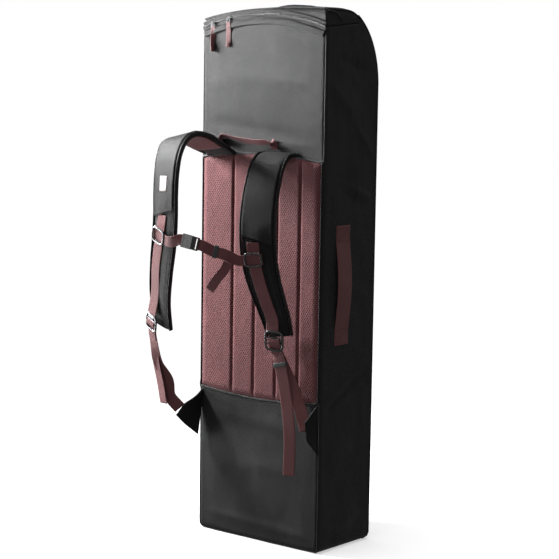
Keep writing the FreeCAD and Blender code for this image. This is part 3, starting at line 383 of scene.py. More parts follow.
def smooth_line(stations: np.ndarray, step: float) -> np.ndarray:
    """Puts more stations along a line, on a smooth curve through the given ones.

    Args:
        stations: One row for each station: x, y, z and any values that go with it.
        step: The most distance between two new stations.

    Returns:
        The new rows.
    """
    lengths = np.linalg.norm(np.diff(stations[:, :3], axis=0), axis=1)
    slopes = np.diff(stations, axis=0) / lengths[:, None]
    inner = lengths[1:, None] * slopes[:-1] + lengths[:-1, None] * slopes[1:]
    inner = inner / (lengths[1:] + lengths[:-1])[:, None]
    tangents = np.vstack([slopes[:1], inner, slopes[-1:]])
    rows = []
    for i, length in enumerate(lengths):
        count = max(2, math.ceil(length / step))
        t = (np.arange(count) / count)[:, None]
        rows.append(
            (2 * t**3 - 3 * t**2 + 1) * stations[i]
            + (t**3 - 2 * t**2 + t) * length * tangents[i]
            + (3 * t**2 - 2 * t**3) * stations[i + 1]
            + (t**3 - t**2) * length * tangents[i + 1]
        )
    rows.append(stations[-1:])
    return np.vstack(rows)


def write_mesh(name: str, points: np.ndarray, faces: list[tuple[int, ...]],
               lay: np.ndarray) -> bpy.types.Object:
    """Makes a smooth-shaded mesh object.

    Args:
        name: The piece's name.
        points: Vertices in millimetres.
        faces: Vertex numbers of each face.
        lay: Where each vertex lies on the flat cloth, in metres: across, along and depth.

    Returns:
        The object, linked to the scene.
    """
    mesh = bpy.data.meshes.new(name)
    mesh.from_pydata((points * MM).tolist(), [], faces)
    attribute = mesh.attributes.new(LAY, "FLOAT_VECTOR", "POINT")
    attribute.data.foreach_set("vector", lay.astype(np.float32).ravel())
    mesh.polygons.foreach_set("use_smooth", [True] * len(mesh.polygons))
    mesh.validate()
    mesh.update()
    piece = bpy.data.objects.new(name, mesh)
    bpy.context.scene.collection.objects.link(piece)
    return piece


def grid_faces(rows: int, columns: int, closed: bool = False) -> list[tuple[int, ...]]:
    """Quads between the points of a grid, whose rows close on themselves if asked."""
    across = columns if closed else columns - 1
    return [
        (r * columns + c, r * columns + (c + 1) % columns,
         (r + 1) * columns + (c + 1) % columns, (r + 1) * columns + c)
        for r in range(rows - 1)
        for c in range(across)
    ]


def make_skin(name: str, grid: np.ndarray, lay: np.ndarray, thick: float = 3.0) -> bpy.types.Object:
    """One curved panel of cloth with a thickness, whose outer face is the grid.

    Args:
        name: The piece's name.
        grid: Points in millimetres, rows by columns by three, wound so that normals look outwards.
        lay: Across and along on the flat cloth in millimetres, rows by columns by two.
        thick: How far the panel goes inwards.

    Returns:
        The panel.
    """
    rows, columns = grid.shape[:2]
    du = np.gradient(grid, axis=1)
    dv = np.gradient(grid, axis=0)
    inward = -unit_rows(np.cross(du, dv)) * thick
    outer = grid.reshape(-1, 3)
    inner = (grid + inward).reshape(-1, 3)
    total = rows * columns
    front = grid_faces(rows, columns)
    back = [tuple(total + i for i in reversed(face)) for face in front]
    rim = [r * columns for r in range(rows)]
    rim += [(rows - 1) * columns + c for c in range(1, columns)]
    rim += [r * columns + columns - 1 for r in range(rows - 2, -1, -1)]
    rim += list(range(columns - 2, 0, -1))
    edge = [(a, total + a, total + b, b) for a, b in zip(rim, rim[1:] + rim[:1])]
    edge = [tuple(reversed(face)) for face in edge]
    flat = np.dstack([lay * MM, np.zeros((rows, columns, 1))]).reshape(-1, 3)
    return write_mesh(name, np.vstack([outer, inner]), front + back + edge, np.vstack([flat, flat]))


def line_directions(points: np.ndarray, across: np.ndarray) -> tuple[np.ndarray, np.ndarray]:
    """The true across and outward directions of a band, square to its line."""
    along = unit_rows(np.gradient(points, axis=0))
    across = unit_rows(across - along * (across * along).sum(1, keepdims=True))
    return across, np.cross(along, across)


@dataclass
class Band:
    """A strap, strip or pad: one section swept along a smooth line.

    Attributes:
        thick: Thickness in the middle.
        fullness: How square the section is: 2 is an oval, 40 a flat strap with soft edges.
        step: Most distance between two sections.
        samples: Points across each face.
        ripple: Height of the slow waves that cloth takes along its length.
        shrink: Width taken off at each side.
        seed: Which waves.
        slant: How far each edge of the last end runs past its middle.
    """

    thick: float = 1.8
    fullness: float = 40.0
    step: float = 4.0
    samples: int = 11
    ripple: float = 0.0
    shrink: float = 0.0
    seed: float = 0.0
    slant: float = 0.0

    def section(self) -> tuple[np.ndarray, np.ndarray]:
        """Across shares from -1 to 1 and half-thickness shares of the section's points, all round."""
        turn = np.linspace(-math.pi / 2, math.pi / 2, self.samples)
        share = np.sin(turn)
        height = np.sqrt(np.clip(1 - np.abs(share) ** self.fullness, 0, 1))
        return np.concatenate([share, share[-2:0:-1]]), np.concatenate([height, -height[-2:0:-1]])

    def build(self, name: str, frames: Frames,
              relief: Callable[[np.ndarray, np.ndarray], np.ndarray] | None = None) -> bpy.types.Object:
        """Sweeps the band.

        Args:
            name: The piece's name.
            frames: Stations in millimetres: x, y, z, across x, y, z, width.
            relief: Extra height of the outer face for across share and distance along.

        Returns:
            The band as one closed mesh.
        """
        rows = smooth_line(np.array(frames, float), self.step)
        points = rows[:, :3]
        across, out = line_directions(points, rows[:, 3:6])
        run = np.concatenate([[0], np.cumsum(np.linalg.norm(np.diff(points, axis=0), axis=1))])
        wave = np.array([noise.noise(Vector((s / 38.0, self.seed, 0.0))) for s in run]) * self.ripple
        share, height = self.section()
        half = np.maximum(rows[:, 6] / 2 - self.shrink, 0.5)
        top = height > 0
        lift = height[None, :] * self.thick / 2
        if relief is not None:
            lift = lift + np.where(top, relief(share[None, :], run[:, None]), 0.0)
        shape = points[:, None, :] + across[:, None, :] * (share[None, :] * half[:, None])[:, :, None]
        shape = shape + out[:, None, :] * (lift + wave[:, None])[:, :, None]
        if self.slant:
            along = np.cross(out, across)
            near_end = np.clip((run - run[-1] + 45) / 45, 0, 1)[:, None]
            shape = shape + along[:, None, :] * (share[None, :] * near_end * self.slant)[:, :, None]
        count, ring = len(rows), len(share)
        faces = [tuple(reversed(face)) for face in grid_faces(count, ring, closed=True)]
        faces.append(tuple(range(ring)))
        faces.append(tuple(range((count - 1) * ring + ring - 1, (count - 1) * ring - 1, -1)))
        depth = np.repeat(lift, count, axis=0) if len(lift) == 1 else lift
        lay = np.dstack([share[None, :] * half[:, None], np.repeat(run[:, None], ring, axis=1), depth]) * MM
        return write_mesh(name, shape.reshape(-1, 3), faces, lay.reshape(-1, 3))


def make_tube(name: str, line: np.ndarray, radius: float, step: float = 6.0,
              sides: int = 8) -> bpy.types.Object:
    """A round cord of piping along a line of points in millimetres."""
    spread = np.hstack([line, np.tile([[0.31, 0.52, 0.79, 2 * radius]], (len(line), 1))])
    return Band(thick=2 * radius, fullness=2.0, step=step, samples=sides // 2 + 1).build(
        name, tuple(map(tuple, spread)))


def make_stitches(name: str, lines: Iterable[tuple[np.ndarray, np.ndarray]], length: float = 3.4,
                  pitch: float = 5.2, radius: float = 0.55) -> bpy.types.Object:
    """Rows of thread: one small spindle for each stitch.

    Args:
        name: The piece's name.
        lines: For each row, its points in millimetres and the outward direction at each point.
        length: Length of a stitch.
        pitch: Distance from one stitch to the next.
        radius: Half the thread's thickness.

    Returns:
        All the stitches as one mesh.
    """
    points, faces, lay = [], [], []
    for line, outward in lines:
        rows = smooth_line(np.hstack([line, outward]), pitch / 2)
        run = np.concatenate([[0], np.cumsum(np.linalg.norm(np.diff(rows[:, :3], axis=0), axis=1))])
        middle = np.arange(pitch / 2, run[-1], pitch)
        for s in middle:
            here, ahead, facing = (
                np.array([np.interp(q, run, rows[:, k]) for k in cols])
                for q, cols in ((s - length / 2, (0, 1, 2)), (s + length / 2, (0, 1, 2)), (s, (3, 4, 5)))
            )
            along = ahead - here
            facing = facing / max(np.linalg.norm(facing), 1e-9)
            side = np.cross(along, facing)
            side = side / max(np.linalg.norm(side), 1e-9) * radius
            first = len(points)
            centre = (here + ahead) / 2
            points += [here, centre + side, centre + facing * radius]
            points += [centre - side, centre - facing * radius, ahead]
            lay += [(0, s * MM, 0)] * 6
            for a, b in ((1, 2), (2, 3), (3, 4), (4, 1)):
                faces += [(first, first + a, first + b), (first + 5, first + b, first + a)]
    return write_mesh(name, np.array(points), faces, np.array(lay))


@dataclass(frozen=True)
class Crease:
    """A fold in a panel: a soft ridge or groove along a straight stretch of the flat cloth."""

    start: tuple[float, float]
    end: tuple[float, float]
    wide: float
    height: float

    def lift(self, a: np.ndarray, b: np.ndarray) -> np.ndarray:
        """How far the fold lifts the cloth at flat places a, b."""
        p, q = np.array(self.start), np.array(self.end)
        d = q - p
        t = np.clip(((a - p[0]) * d[0] + (b - p[1]) * d[1]) / (d @ d), 0, 1)
        near = np.hypot(a - p[0] - t * d[0], b - p[1] - t * d[1])
        fade = np.clip(4 * t * (1 - t) + 0.25, 0, 1)
        return self.height * fade * np.exp(-((near / self.wide) ** 2))


def waves(a: np.ndarray, b: np.ndarray, size: tuple[float, float], seed: float) -> np.ndarray:
    """Slow uneven waves, from -1 to 1, at flat places a, b."""
    flat = np.column_stack([a.ravel() / size[0], b.ravel() / size[1]])
    values = [noise.fractal(Vector((x, y, seed)), 1.0, 2.0, 3) for x, y in flat]
    return np.array(values).reshape(a.shape)


# ---------------------------------------------------------------------------------------------
# Finishes
# ---------------------------------------------------------------------------------------------
class Weave(Enum):
    """How a cloth is made."""

    PLAIN = "plain"
    RIBBED = "ribbed"
    OPEN_MESH = "open mesh"


@dataclass
class Graph:
    """Short ways to put nodes into one tree."""

    tree: bpy.types.NodeTree

    def add(self, kind: str, **settings: object) -> bpy.types.Node:
        """A new node with its settings."""
        made = self.tree.nodes.new(kind)
        for key, value in settings.items():
            setattr(made, key, value)
        return made

    def feed(self, socket: bpy.types.NodeSocket, value: object) -> None:
        """Links a socket, or sets a plain value on it."""
        if isinstance(value, bpy.types.NodeSocket):
            self.tree.links.new(value, socket)
        elif value is not None:
            socket.default_value = value

    def math(self, operation: str, first: object, second: object = None, third: object = None
             ) -> bpy.types.NodeSocket:
        """One sum, as its output socket."""
        made = self.add("ShaderNodeMath", operation=operation)
        for socket, value in zip(made.inputs, (first, second, third)):
            self.feed(socket, value)
        return made.outputs[0]

    def mix(self, factor: object, low: object, high: object) -> bpy.types.NodeSocket:
        """A colour between two, as its output socket."""
        made = self.add("ShaderNodeMix", data_type="RGBA")
        self.feed(made.inputs[0], factor)
        self.feed(made.inputs[6], low)
        self.feed(made.inputs[7], high)
        return made.outputs[2]

    def spread(self, value: object, low: float, high: float, to_low: float, to_high: float
               ) -> bpy.types.NodeSocket:
        """A value moved smoothly from one range to another."""
        made = self.add("ShaderNodeMapRange", interpolation_type="SMOOTHSTEP")
        for socket, number in zip(made.inputs, (value, low, high, to_low, to_high)):
            self.feed(socket, number)
        return made.outputs[0]

    def group(self, built: bpy.types.NodeTree, **inputs: object) -> bpy.types.Node:
        """A node group with its inputs fed."""
        made = self.add("ShaderNodeGroup", node_tree=built)
        for name, value in inputs.items():
            self.feed(made.inputs[name.replace("_", " ").title()], value)
        return made


def new_group(name: str, inputs: dict[str, str], outputs: dict[str, str]
              ) -> tuple[Graph, bpy.types.Node, bpy.types.Node]:
    """An empty shader node group with named sockets.

    Args:
        name: The group's name.
        inputs: Kind of each input socket by its name.
        outputs: Kind of each output socket by its name.

    Returns:
        The group's graph, its input node and its output node.
    """
    tree = bpy.data.node_groups.new(name, "ShaderNodeTree")
    for label, kind in inputs.items():
        tree.interface.new_socket(name=label, in_out="INPUT", socket_type=kind)
    for label, kind in outputs.items():
        tree.interface.new_socket(name=label, in_out="OUTPUT", socket_type=kind)
    graph = Graph(tree)
    return graph, graph.add("NodeGroupInput"), graph.add("NodeGroupOutput")


FLOAT, VECTOR, COLOUR = "NodeSocketFloat", "NodeSocketVector", "NodeSocketColor"


class Effects:
    """The node groups that the finishes share, each built once."""

    def __init__(self) -> None:
        """Builds every group."""
        self.plain = self.build_plain()
        self.ribbed = self.build_ribbed()
        self.open_mesh = self.build_open_mesh()
        self.ageing = self.build_ageing()
        self.scuffs = self.build_scuffs()

    def build_plain(self) -> bpy.types.NodeTree:
        """Plain weave: threads go over and under in turn, with painted shade: a factor that darkens the
        colour where the threads dip.
        """
        graph, inputs, outputs = new_group(
            "Plain Weave", {"Lay": VECTOR, "Pitch": FLOAT}, {"Height": FLOAT, "Shade": FLOAT})
        place = graph.add("ShaderNodeSeparateXYZ")
        graph.feed(place.inputs[0], inputs.outputs["Lay"])
        u = graph.math("DIVIDE", place.outputs[0], inputs.outputs["Pitch"])
        v = graph.math("DIVIDE", place.outputs[1], inputs.outputs["Pitch"])
        warp = graph.math("ABSOLUTE", graph.math("SINE", graph.math("MULTIPLY", u, math.pi)))
        weft = graph.math("ABSOLUTE", graph.math("SINE", graph.math("MULTIPLY", v, math.pi)))
        cell = graph.math("ADD", graph.math("FLOOR", u), graph.math("FLOOR", v))
        over = graph.math("PINGPONG", cell, 1.0)
        first = graph.math("MULTIPLY", warp, over)
        second = graph.math("MULTIPLY", weft, graph.math("SUBTRACT", 1.0, over))
        height = graph.math("ADD", first, second)
        graph.feed(outputs.inputs["Height"], height)
        # Painted shade: the colour falls to 72 per cent where the weave dips.
        graph.feed(outputs.inputs["Shade"], graph.spread(height, 0.0, 1.0, 0.72, 1.0))
        return graph.tree

    def build_ribbed(self) -> bpy.types.NodeTree:
        """Webbing: ribs along the strap with short crossing picks, with painted shade: a factor that darkens
        the colour between them.
        """
        graph, inputs, outputs = new_group(
            "Ribbed Webbing", {"Lay": VECTOR, "Pitch": FLOAT}, {"Height": FLOAT, "Shade": FLOAT})
        place = graph.add("ShaderNodeSeparateXYZ")
        graph.feed(place.inputs[0], inputs.outputs["Lay"])
        u = graph.math("DIVIDE", place.outputs[0], inputs.outputs["Pitch"])
        v = graph.math("DIVIDE", place.outputs[1], inputs.outputs["Pitch"])
        rib = graph.math("ABSOLUTE", graph.math("SINE", graph.math("MULTIPLY", u, math.pi)))
        lean = graph.math("MULTIPLY_ADD", graph.math("FRACT", u), 0.6, graph.math("MULTIPLY", v, 1.4))
        pick = graph.math("ABSOLUTE", graph.math("SINE", graph.math("MULTIPLY", lean, math.pi)))
        height = graph.math("MULTIPLY", graph.math("POWER", rib, 0.6), graph.spread(pick, 0.0, 1.0, 0.6, 1.0))
        graph.feed(outputs.inputs["Height"], height)
        # Painted shade: the colour falls to 55 per cent between the ribs and picks.
        graph.feed(outputs.inputs["Shade"], graph.spread(height, 0.0, 1.0, 0.55, 1.0))
        return graph.tree

    def build_open_mesh(self) -> bpy.types.NodeTree:
        """Spacer mesh: rows of lozenge openings, each row set over by half."""
        graph, inputs, outputs = new_group(
            "Open Mesh", {"Lay": VECTOR, "Pitch": FLOAT}, {"Height": FLOAT, "Hole": FLOAT})
        place = graph.add("ShaderNodeSeparateXYZ")
        graph.feed(place.inputs[0], inputs.outputs["Lay"])
        u = graph.math("DIVIDE", place.outputs[0], inputs.outputs["Pitch"])
        v = graph.math("DIVIDE", place.outputs[1], graph.math("MULTIPLY", inputs.outputs["Pitch"], 1.5))
        far = []
        for shift in (0.0, 0.5):
            x, y = (
                graph.math("ABSOLUTE", graph.math("SUBTRACT", graph.math("FRACT", moved), 0.5))
                for moved in (graph.math("ADD", u, shift), graph.math("ADD", v, shift))
            )
            lozenge = graph.math("ADD", x, y)
            round_part = graph.math("MAXIMUM", x, y)
            far.append(graph.math("MULTIPLY_ADD", lozenge, 0.75, graph.math("MULTIPLY", round_part, 0.35)))
        distance = graph.math("MINIMUM", far[0], far[1])
        graph.feed(outputs.inputs["Height"], graph.spread(distance, 0.12, 0.34, 0.0, 1.0))
        graph.feed(outputs.inputs["Hole"], graph.spread(distance, 0.20, 0.29, 1.0, 0.0))
        return graph.tree

    def build_ageing(self) -> bpy.types.NodeTree:
        """Uneven tone, lint and slow softness of used cloth."""
        graph, inputs, outputs = new_group(
            "Cloth Ageing", {"Place": VECTOR, "Scale": FLOAT, "Amount": FLOAT},
            {"Tone": FLOAT, "Nap": FLOAT, "Dust": FLOAT})
        broad = graph.add("ShaderNodeTexNoise")
        fine = graph.add("ShaderNodeTexNoise")
        for texture, times, detail in ((broad, 1.0, 4.0), (fine, 22.0, 2.0)):
            graph.feed(texture.inputs["Vector"], inputs.outputs["Place"])
            graph.feed(texture.inputs["Scale"], graph.math("MULTIPLY", inputs.outputs["Scale"], times))
            texture.inputs["Detail"].default_value = detail
        centred = graph.math("SUBTRACT", broad.outputs[0], 0.5)
        tone = graph.math("MULTIPLY_ADD", graph.math("MULTIPLY", centred, inputs.outputs["Amount"]), 2.0, 1.0)
        graph.feed(outputs.inputs["Tone"], tone)
        graph.feed(outputs.inputs["Nap"], fine.outputs[0])
        dust = graph.spread(broad.outputs[0], 0.56, 0.78, 0.0, inputs.outputs["Amount"])
        graph.feed(outputs.inputs["Dust"], dust)
        return graph.tree

    def build_scuffs(self) -> bpy.types.NodeTree:
        """Fine scratches and rubbed spots on moulded and cast pieces."""
        graph, inputs, outputs = new_group(
            "Hardware Scuffs", {"Place": VECTOR, "Amount": FLOAT},
            {"Wear": FLOAT, "Height": FLOAT, "Gloss": FLOAT})
        stretched = graph.add("ShaderNodeMapping")
        graph.feed(stretched.inputs["Vector"], inputs.outputs["Place"])
        stretched.inputs["Scale"].default_value = (900.0, 900.0, 120.0)
        scratch = graph.add("ShaderNodeTexNoise")
        graph.feed(scratch.inputs["Vector"], stretched.outputs[0])
        scratch.inputs["Scale"].default_value = 1.0
        patchy = graph.add("ShaderNodeTexNoise")
        graph.feed(patchy.inputs["Vector"], inputs.outputs["Place"])
        patchy.inputs["Scale"].default_value = 140.0
        line = graph.spread(scratch.outputs[0], 0.60, 0.72, 0.0, inputs.outputs["Amount"])
        spot = graph.spread(patchy.outputs[0], 0.55, 0.75, 0.0, inputs.outputs["Amount"])
        graph.feed(outputs.inputs["Wear"], graph.math("MAXIMUM", line, spot))
        graph.feed(outputs.inputs["Height"], scratch.outputs[0])
        graph.feed(outputs.inputs["Gloss"], graph.spread(patchy.outputs[0], 0.3, 0.7, 0.8, 1.25))
        return graph.tree


def start_material(name: str) -> tuple[Graph, bpy.types.Node]:
    """An empty node material's graph and its Principled BSDF."""
    material = bpy.data.materials.new(name)
    material.use_nodes = True
    graph = Graph(material.node_tree)
    return graph, material.node_tree.nodes["Principled BSDF"]


@dataclass(frozen=True)
class ClothFinish:
    """A woven or knitted finish.

    Attributes:
        name: The material's name.
        slot: Name of the slot that pieces in it take; not used.
        colour: Thread colour.
        recess_shade_and_hole_colour: Painted shade colour where the threads of a plain or ribbed weave dip;
            in open mesh, the dark under-layer seen through the holes.
        weave: How the cloth is made.
        pitch: Distance between threads or holes, in millimetres.
        relief: Depth of the weave in the bump, in millimetres.
        roughness: Roughness of the thread.
        sheen: Weight of the soft sheen.
        ageing: How uneven the tone is.
    """

    name: str
    slot: str
    colour: tuple[float, float, float]
    recess_shade_and_hole_colour: tuple[float, float, float]
    weave: Weave = Weave.PLAIN
    pitch: float = 1.2
    relief: float = 0.25
    roughness: float = 0.7
    sheen: float = 0.25
    ageing: float = 0.25

    def build(self, effects: Effects) -> bpy.types.Material:
        """Makes the material.

        Args:
            effects: The shared node groups.

        Returns:
            The material.
        """
        graph, shader = start_material(self.name)
        lay = graph.add("ShaderNodeAttribute", attribute_name=LAY)
        place = graph.add("ShaderNodeTexCoord")
        built = {Weave.PLAIN: effects.plain, Weave.RIBBED: effects.ribbed, Weave.OPEN_MESH: effects.open_mesh}
        cloth = graph.group(built[self.weave], lay=lay.outputs["Vector"], pitch=self.pitch * MM)
        age = graph.group(effects.ageing, place=place.outputs["Object"], scale=9.0, amount=self.ageing)
        # Plain and ribbed weaves mix in the darker second colour as painted shade where the threads dip; open
        # mesh shows it as the dark under-layer through its holes.
        thread, recess_shade_and_hole_colour = (*self.colour, 1.0), (*self.recess_shade_and_hole_colour, 1.0)
        if self.weave is Weave.OPEN_MESH:
            base = graph.mix(cloth.outputs["Hole"], thread, recess_shade_and_hole_colour)
        else:
            base = graph.mix(cloth.outputs["Shade"], recess_shade_and_hole_colour, thread)
        lint = tuple(min(1.0, c * 1.5 + 0.02) for c in self.colour)
        dusty = graph.mix(age.outputs["Dust"], base, (*lint, 1.0))
        toned = graph.add("ShaderNodeHueSaturation")
        graph.feed(toned.inputs["Color"], dusty)
        graph.feed(toned.inputs["Value"], age.outputs["Tone"])
        graph.feed(shader.inputs["Base Color"], toned.outputs[0])
        smooth, coarse = max(0.0, self.roughness - 0.07), self.roughness + 0.07
        rough = graph.spread(age.outputs["Nap"], 0.3, 0.7, smooth, coarse)
        graph.feed(shader.inputs["Roughness"], rough)
        shader.inputs["Sheen Weight"].default_value = self.sheen
        shader.inputs["Sheen Roughness"].default_value = 0.45
        shader.inputs["Specular IOR Level"].default_value = 0.16
        bump = graph.add("ShaderNodeBump")
        bump.inputs["Distance"].default_value = self.relief * MM
        bump.inputs["Strength"].default_value = 0.9
        height = graph.math("MULTIPLY_ADD", age.outputs["Nap"], 0.5, cloth.outputs["Height"])
        graph.feed(bump.inputs["Height"], height)
        graph.feed(shader.inputs["Normal"], bump.outputs[0])
        return bpy.data.materials[self.name]


@dataclass(frozen=True)
class HardFinish:
    """A moulded, cast or sheet finish.

    Attributes:
        name: The material's name.
        slot: Name of the slot that pieces in it take; not used.
        colour: Its colour.
        worn: Colour of rubbed spots.
        roughness: Its roughness.
        metallic: How metallic it is.
        coat: Weight of its clear coat.
        wear: How much rubbing shows.
    """

    name: str
    slot: str
    colour: tuple[float, float, float]
    worn: tuple[float, float, float]
    roughness: float = 0.3
    metallic: float = 0.0
    coat: float = 0.0
    wear: float = 0.5

    def build(self, effects: Effects) -> bpy.types.Material:
        """Makes the material.

        Args:
            effects: The shared node groups.

        Returns:
            The material.
        """
        graph, shader = start_material(self.name)
        place = graph.add("ShaderNodeTexCoord")
        scuffs = graph.group(effects.scuffs, place=place.outputs["Object"], amount=self.wear)
        base = graph.mix(scuffs.outputs["Wear"], (*self.colour, 1.0), (*self.worn, 1.0))
        graph.feed(shader.inputs["Base Color"], base)
        rough = graph.math("MULTIPLY", scuffs.outputs["Gloss"], self.roughness)
        graph.feed(shader.inputs["Roughness"], rough)
        shader.inputs["Metallic"].default_value = self.metallic
        shader.inputs["Coat Weight"].default_value = self.coat
        bump = graph.add("ShaderNodeBump")
        bump.inputs["Distance"].default_value = 0.05 * MM
        bump.inputs["Strength"].default_value = 0.5
        graph.feed(bump.inputs["Height"], scuffs.outputs["Height"])
        graph.feed(shader.inputs["Normal"], bump.outputs[0])
        return bpy.data.materials[self.name]


# Each cloth's second colour is painted shade in its weave's dips; for the spacer mesh it is the dark
# under-layer seen through the holes.
BLACK_CLOTH = ClothFinish("Black pack cloth", "black_fabric", (0.019, 0.019, 0.0193), (0.006, 0.006, 0.0065),
                          pitch=1.3, relief=0.30, roughness=0.56, sheen=0.06, ageing=0.25)
PAD_CLOTH = ClothFinish("Black pad cloth", "black_fabric", (0.014, 0.014, 0.0145), (0.005, 0.005, 0.005),
                        pitch=1.0, relief=0.18, roughness=0.60, sheen=0.03, ageing=0.2)
MAROON_MESH = ClothFinish("Maroon spacer mesh", "maroon_mesh", (0.185, 0.062, 0.067), (0.009, 0.004, 0.0045),
                          Weave.OPEN_MESH, pitch=7.0, relief=1.3, roughness=0.72, sheen=0.12, ageing=0.18)
MAROON_WEBBING = ClothFinish("Maroon webbing", "maroon_webbing", (0.205, 0.078, 0.082), (0.035, 0.010, 0.012),
                             Weave.RIBBED, pitch=2.6, relief=0.5, roughness=0.52, sheen=0.10, ageing=0.16)
MAROON_THREAD = ClothFinish("Maroon thread", "maroon_webbing", (0.10, 0.03, 0.034), (0.05, 0.014, 0.016),
                            Weave.RIBBED, pitch=0.5, relief=0.1, roughness=0.5, sheen=0.1, ageing=0.1)
BLACK_BINDING = ClothFinish("Black binding tape", "black_binding", (0.013, 0.013, 0.014),
                            (0.005, 0.005, 0.005), Weave.RIBBED, pitch=1.4, relief=0.3, roughness=0.42,
                            sheen=0.15, ageing=0.15)
BLACK_THREAD = ClothFinish("Black thread", "black_binding", (0.05, 0.05, 0.052), (0.02, 0.02, 0.02),
                           Weave.RIBBED, pitch=0.5, relief=0.1, roughness=0.45, sheen=0.1, ageing=0.1)
ZIP_TAPE = ClothFinish("Zip tape", "zip_tape", (0.007, 0.007, 0.0072), (0.003, 0.003, 0.003),
                       pitch=0.9, relief=0.15, roughness=0.6, sheen=0.15, ageing=0.15)
DARK_WEBBING = ClothFinish("Inner webbing", "inner_webbing", (0.022, 0.022, 0.023), (0.007, 0.007, 0.007),
                           Weave.RIBBED, pitch=2.4, relief=0.4, roughness=0.55, sheen=0.2, ageing=0.2)
GREY_ELASTIC = ClothFinish("Grey elastic", "grey_elastic", (0.075, 0.085, 0.083), (0.02, 0.024, 0.023),
                           Weave.RIBBED, pitch=1.5, relief=0.4, roughness=0.6, sheen=0.25, ageing=0.2)
PALE_PATCH = ClothFinish("Plain woven patch", "patch", (0.52, 0.49, 0.47), (0.36, 0.33, 0.32),
                         pitch=1.1, relief=0.2, roughness=0.7, sheen=0.2, ageing=0.12)
ZIP_COIL = HardFinish("Zip coil nylon", "zip_teeth", (0.009, 0.009, 0.0095), (0.03, 0.03, 0.03),
                      0.32, 0.0, 0.2)
SLIDER_METAL = HardFinish("Slider metal", "slider_metal", (0.13, 0.13, 0.135), (0.34, 0.34, 0.35),
                          0.28, 0.9, 0.1)
GUNMETAL = HardFinish("Gunmetal hardware", "buckle_grey", (0.085, 0.085, 0.09), (0.22, 0.22, 0.23),
                      0.24, 0.75, 0.3)
BLACK_MOULDED = HardFinish("Black moulded plastic", "buckle_black", (0.016, 0.016, 0.018), (0.05, 0.05, 0.05),
                           0.3, 0.0, 0.25)
PALE_MOULDED = HardFinish("Silver-grey moulded buckle", "buckle_light", (0.40, 0.40, 0.41), (0.6, 0.6, 0.6),
                          0.3, 0.55, 0.3)
STIFF_SHEET = HardFinish("Stiff sheet", "stiff_sheet", (0.03, 0.03, 0.033), (0.06, 0.06, 0.06), 0.5, 0.0, 0.0)
CELL_FOAM = HardFinish("Closed-cell foam", "foam", (0.05, 0.05, 0.05), (0.08, 0.08, 0.08), 0.85, 0.0, 0.0)
Finish = ClothFinish | HardFinish


@dataclass(frozen=True)
class Bend:
    """Two bodies that a soft piece joins, and where it starts and stops turning, in millimetres."""

    first: str
    second: str
    start: tuple[float, float, float]
    end: tuple[float, float, float]


class Dresser:
    """Gives pieces their finish and their body, and hides the CAD nodes that they stand for."""

    def __init__(self) -> None:
        """Starts with no material made."""
        self.effects = Effects()
        self.made: dict[str, bpy.types.Material] = {}

    def material(self, finish: Finish) -> bpy.types.Material:
        """The finish's material, made at its first use."""
        if finish.name not in self.made:
            self.made[finish.name] = finish.build(self.effects)
        return self.made[finish.name]

    def dress(self, piece: bpy.types.Object, finish: Finish, body: str, *nodes: str,
              padded: float | None = None, bend: Bend | None = None) -> bpy.types.Object:
        """Finishes one new piece.

        Args:
            piece: The piece, in place.
            finish: What it is made of.
            body: The CAD body that it rides on.
            nodes: CAD nodes that it stands for.
            padded: How full it is, for a padded piece; not used.
            bend: The joint that it lies across, in place of riding one body; when given, the piece is left
                with no body.

        Returns:
            The piece.
        """
        piece.data.materials.clear()
        piece.data.materials.append(self.material(finish))
        if bend is None:
            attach(piece, body)
        else:
            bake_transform(piece)
        if nodes:
            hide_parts(*nodes)
        LOG.info("%s on %s in %s", piece.name, body, finish.name)
        return piece

    def keep(self, nodes: dict[str, bpy.types.Object], finish: Finish, *names: str) -> None:
        """Puts a finish on CAD nodes that stay."""
        for name in names:
            data = nodes[name].data
            data.materials.clear()
            data.materials.append(self.material(finish))
            LOG.info("%s kept in %s", name, finish.name)


# ---------------------------------------------------------------------------------------------
# Shell
# ---------------------------------------------------------------------------------------------
def zip_height(x: np.ndarray) -> np.ndarray:
    """Height of the front zip's arch."""
    return ARCH_CENTRE_Z + np.sqrt(np.maximum(ZIP_RADIUS**2 - x**2, 0))


def crown_height(x: np.ndarray) -> np.ndarray:
    """Height of the arched crown across the bag."""
    return BAG_TALL - CROWN_RADIUS + np.sqrt(np.maximum(CROWN_RADIUS**2 - (x - CROWN_SHIFT_X) ** 2, 0))


def profile_height(y: np.ndarray) -> np.ndarray:
    """Height of the bag's top from front to back: flat, then the big rear shoulder."""
    share = np.clip((y - TOP_FLAT_Y) / SHOULDER_DEEP, 0, 1)
    return SHOULDER_Z + SHOULDER_TALL * np.sqrt(1 - share**2)


def top_height(x: np.ndarray, y: np.ndarray) -> np.ndarray:
    """The lower of the two tops, rounded where they cross."""
    arch, profile = crown_height(x), profile_height(y)
    near = 14.0
    gap = np.clip(0.5 + (profile - arch) / (2 * near), 0, 1)
    return profile * (1 - gap) + arch * gap - near * gap * (1 - gap)


def rolled(distance: np.ndarray, radius: float) -> np.ndarray:
    """How far a surface has turned inwards at this distance from its edge."""
    near = np.clip(radius - distance, 0, radius)
    return radius - np.sqrt(np.maximum(radius**2 - near**2, 0))


def corner_in(z: np.ndarray) -> np.ndarray:
    """How far the bag's bottom corners turn in at this height."""
    near = np.clip(22.0 - z, 0, 22.0)
    return 22.0 - np.sqrt(22.0**2 - near**2)


def seam_height(x: np.ndarray, y: np.ndarray) -> np.ndarray:
    """Height of the seam under the lid, which climbs towards the hinge."""
    return zip_height(x) + 14.0 * np.clip((y + HALF_DEEP) / (HINGE_Y + HALF_DEEP), 0, 1)


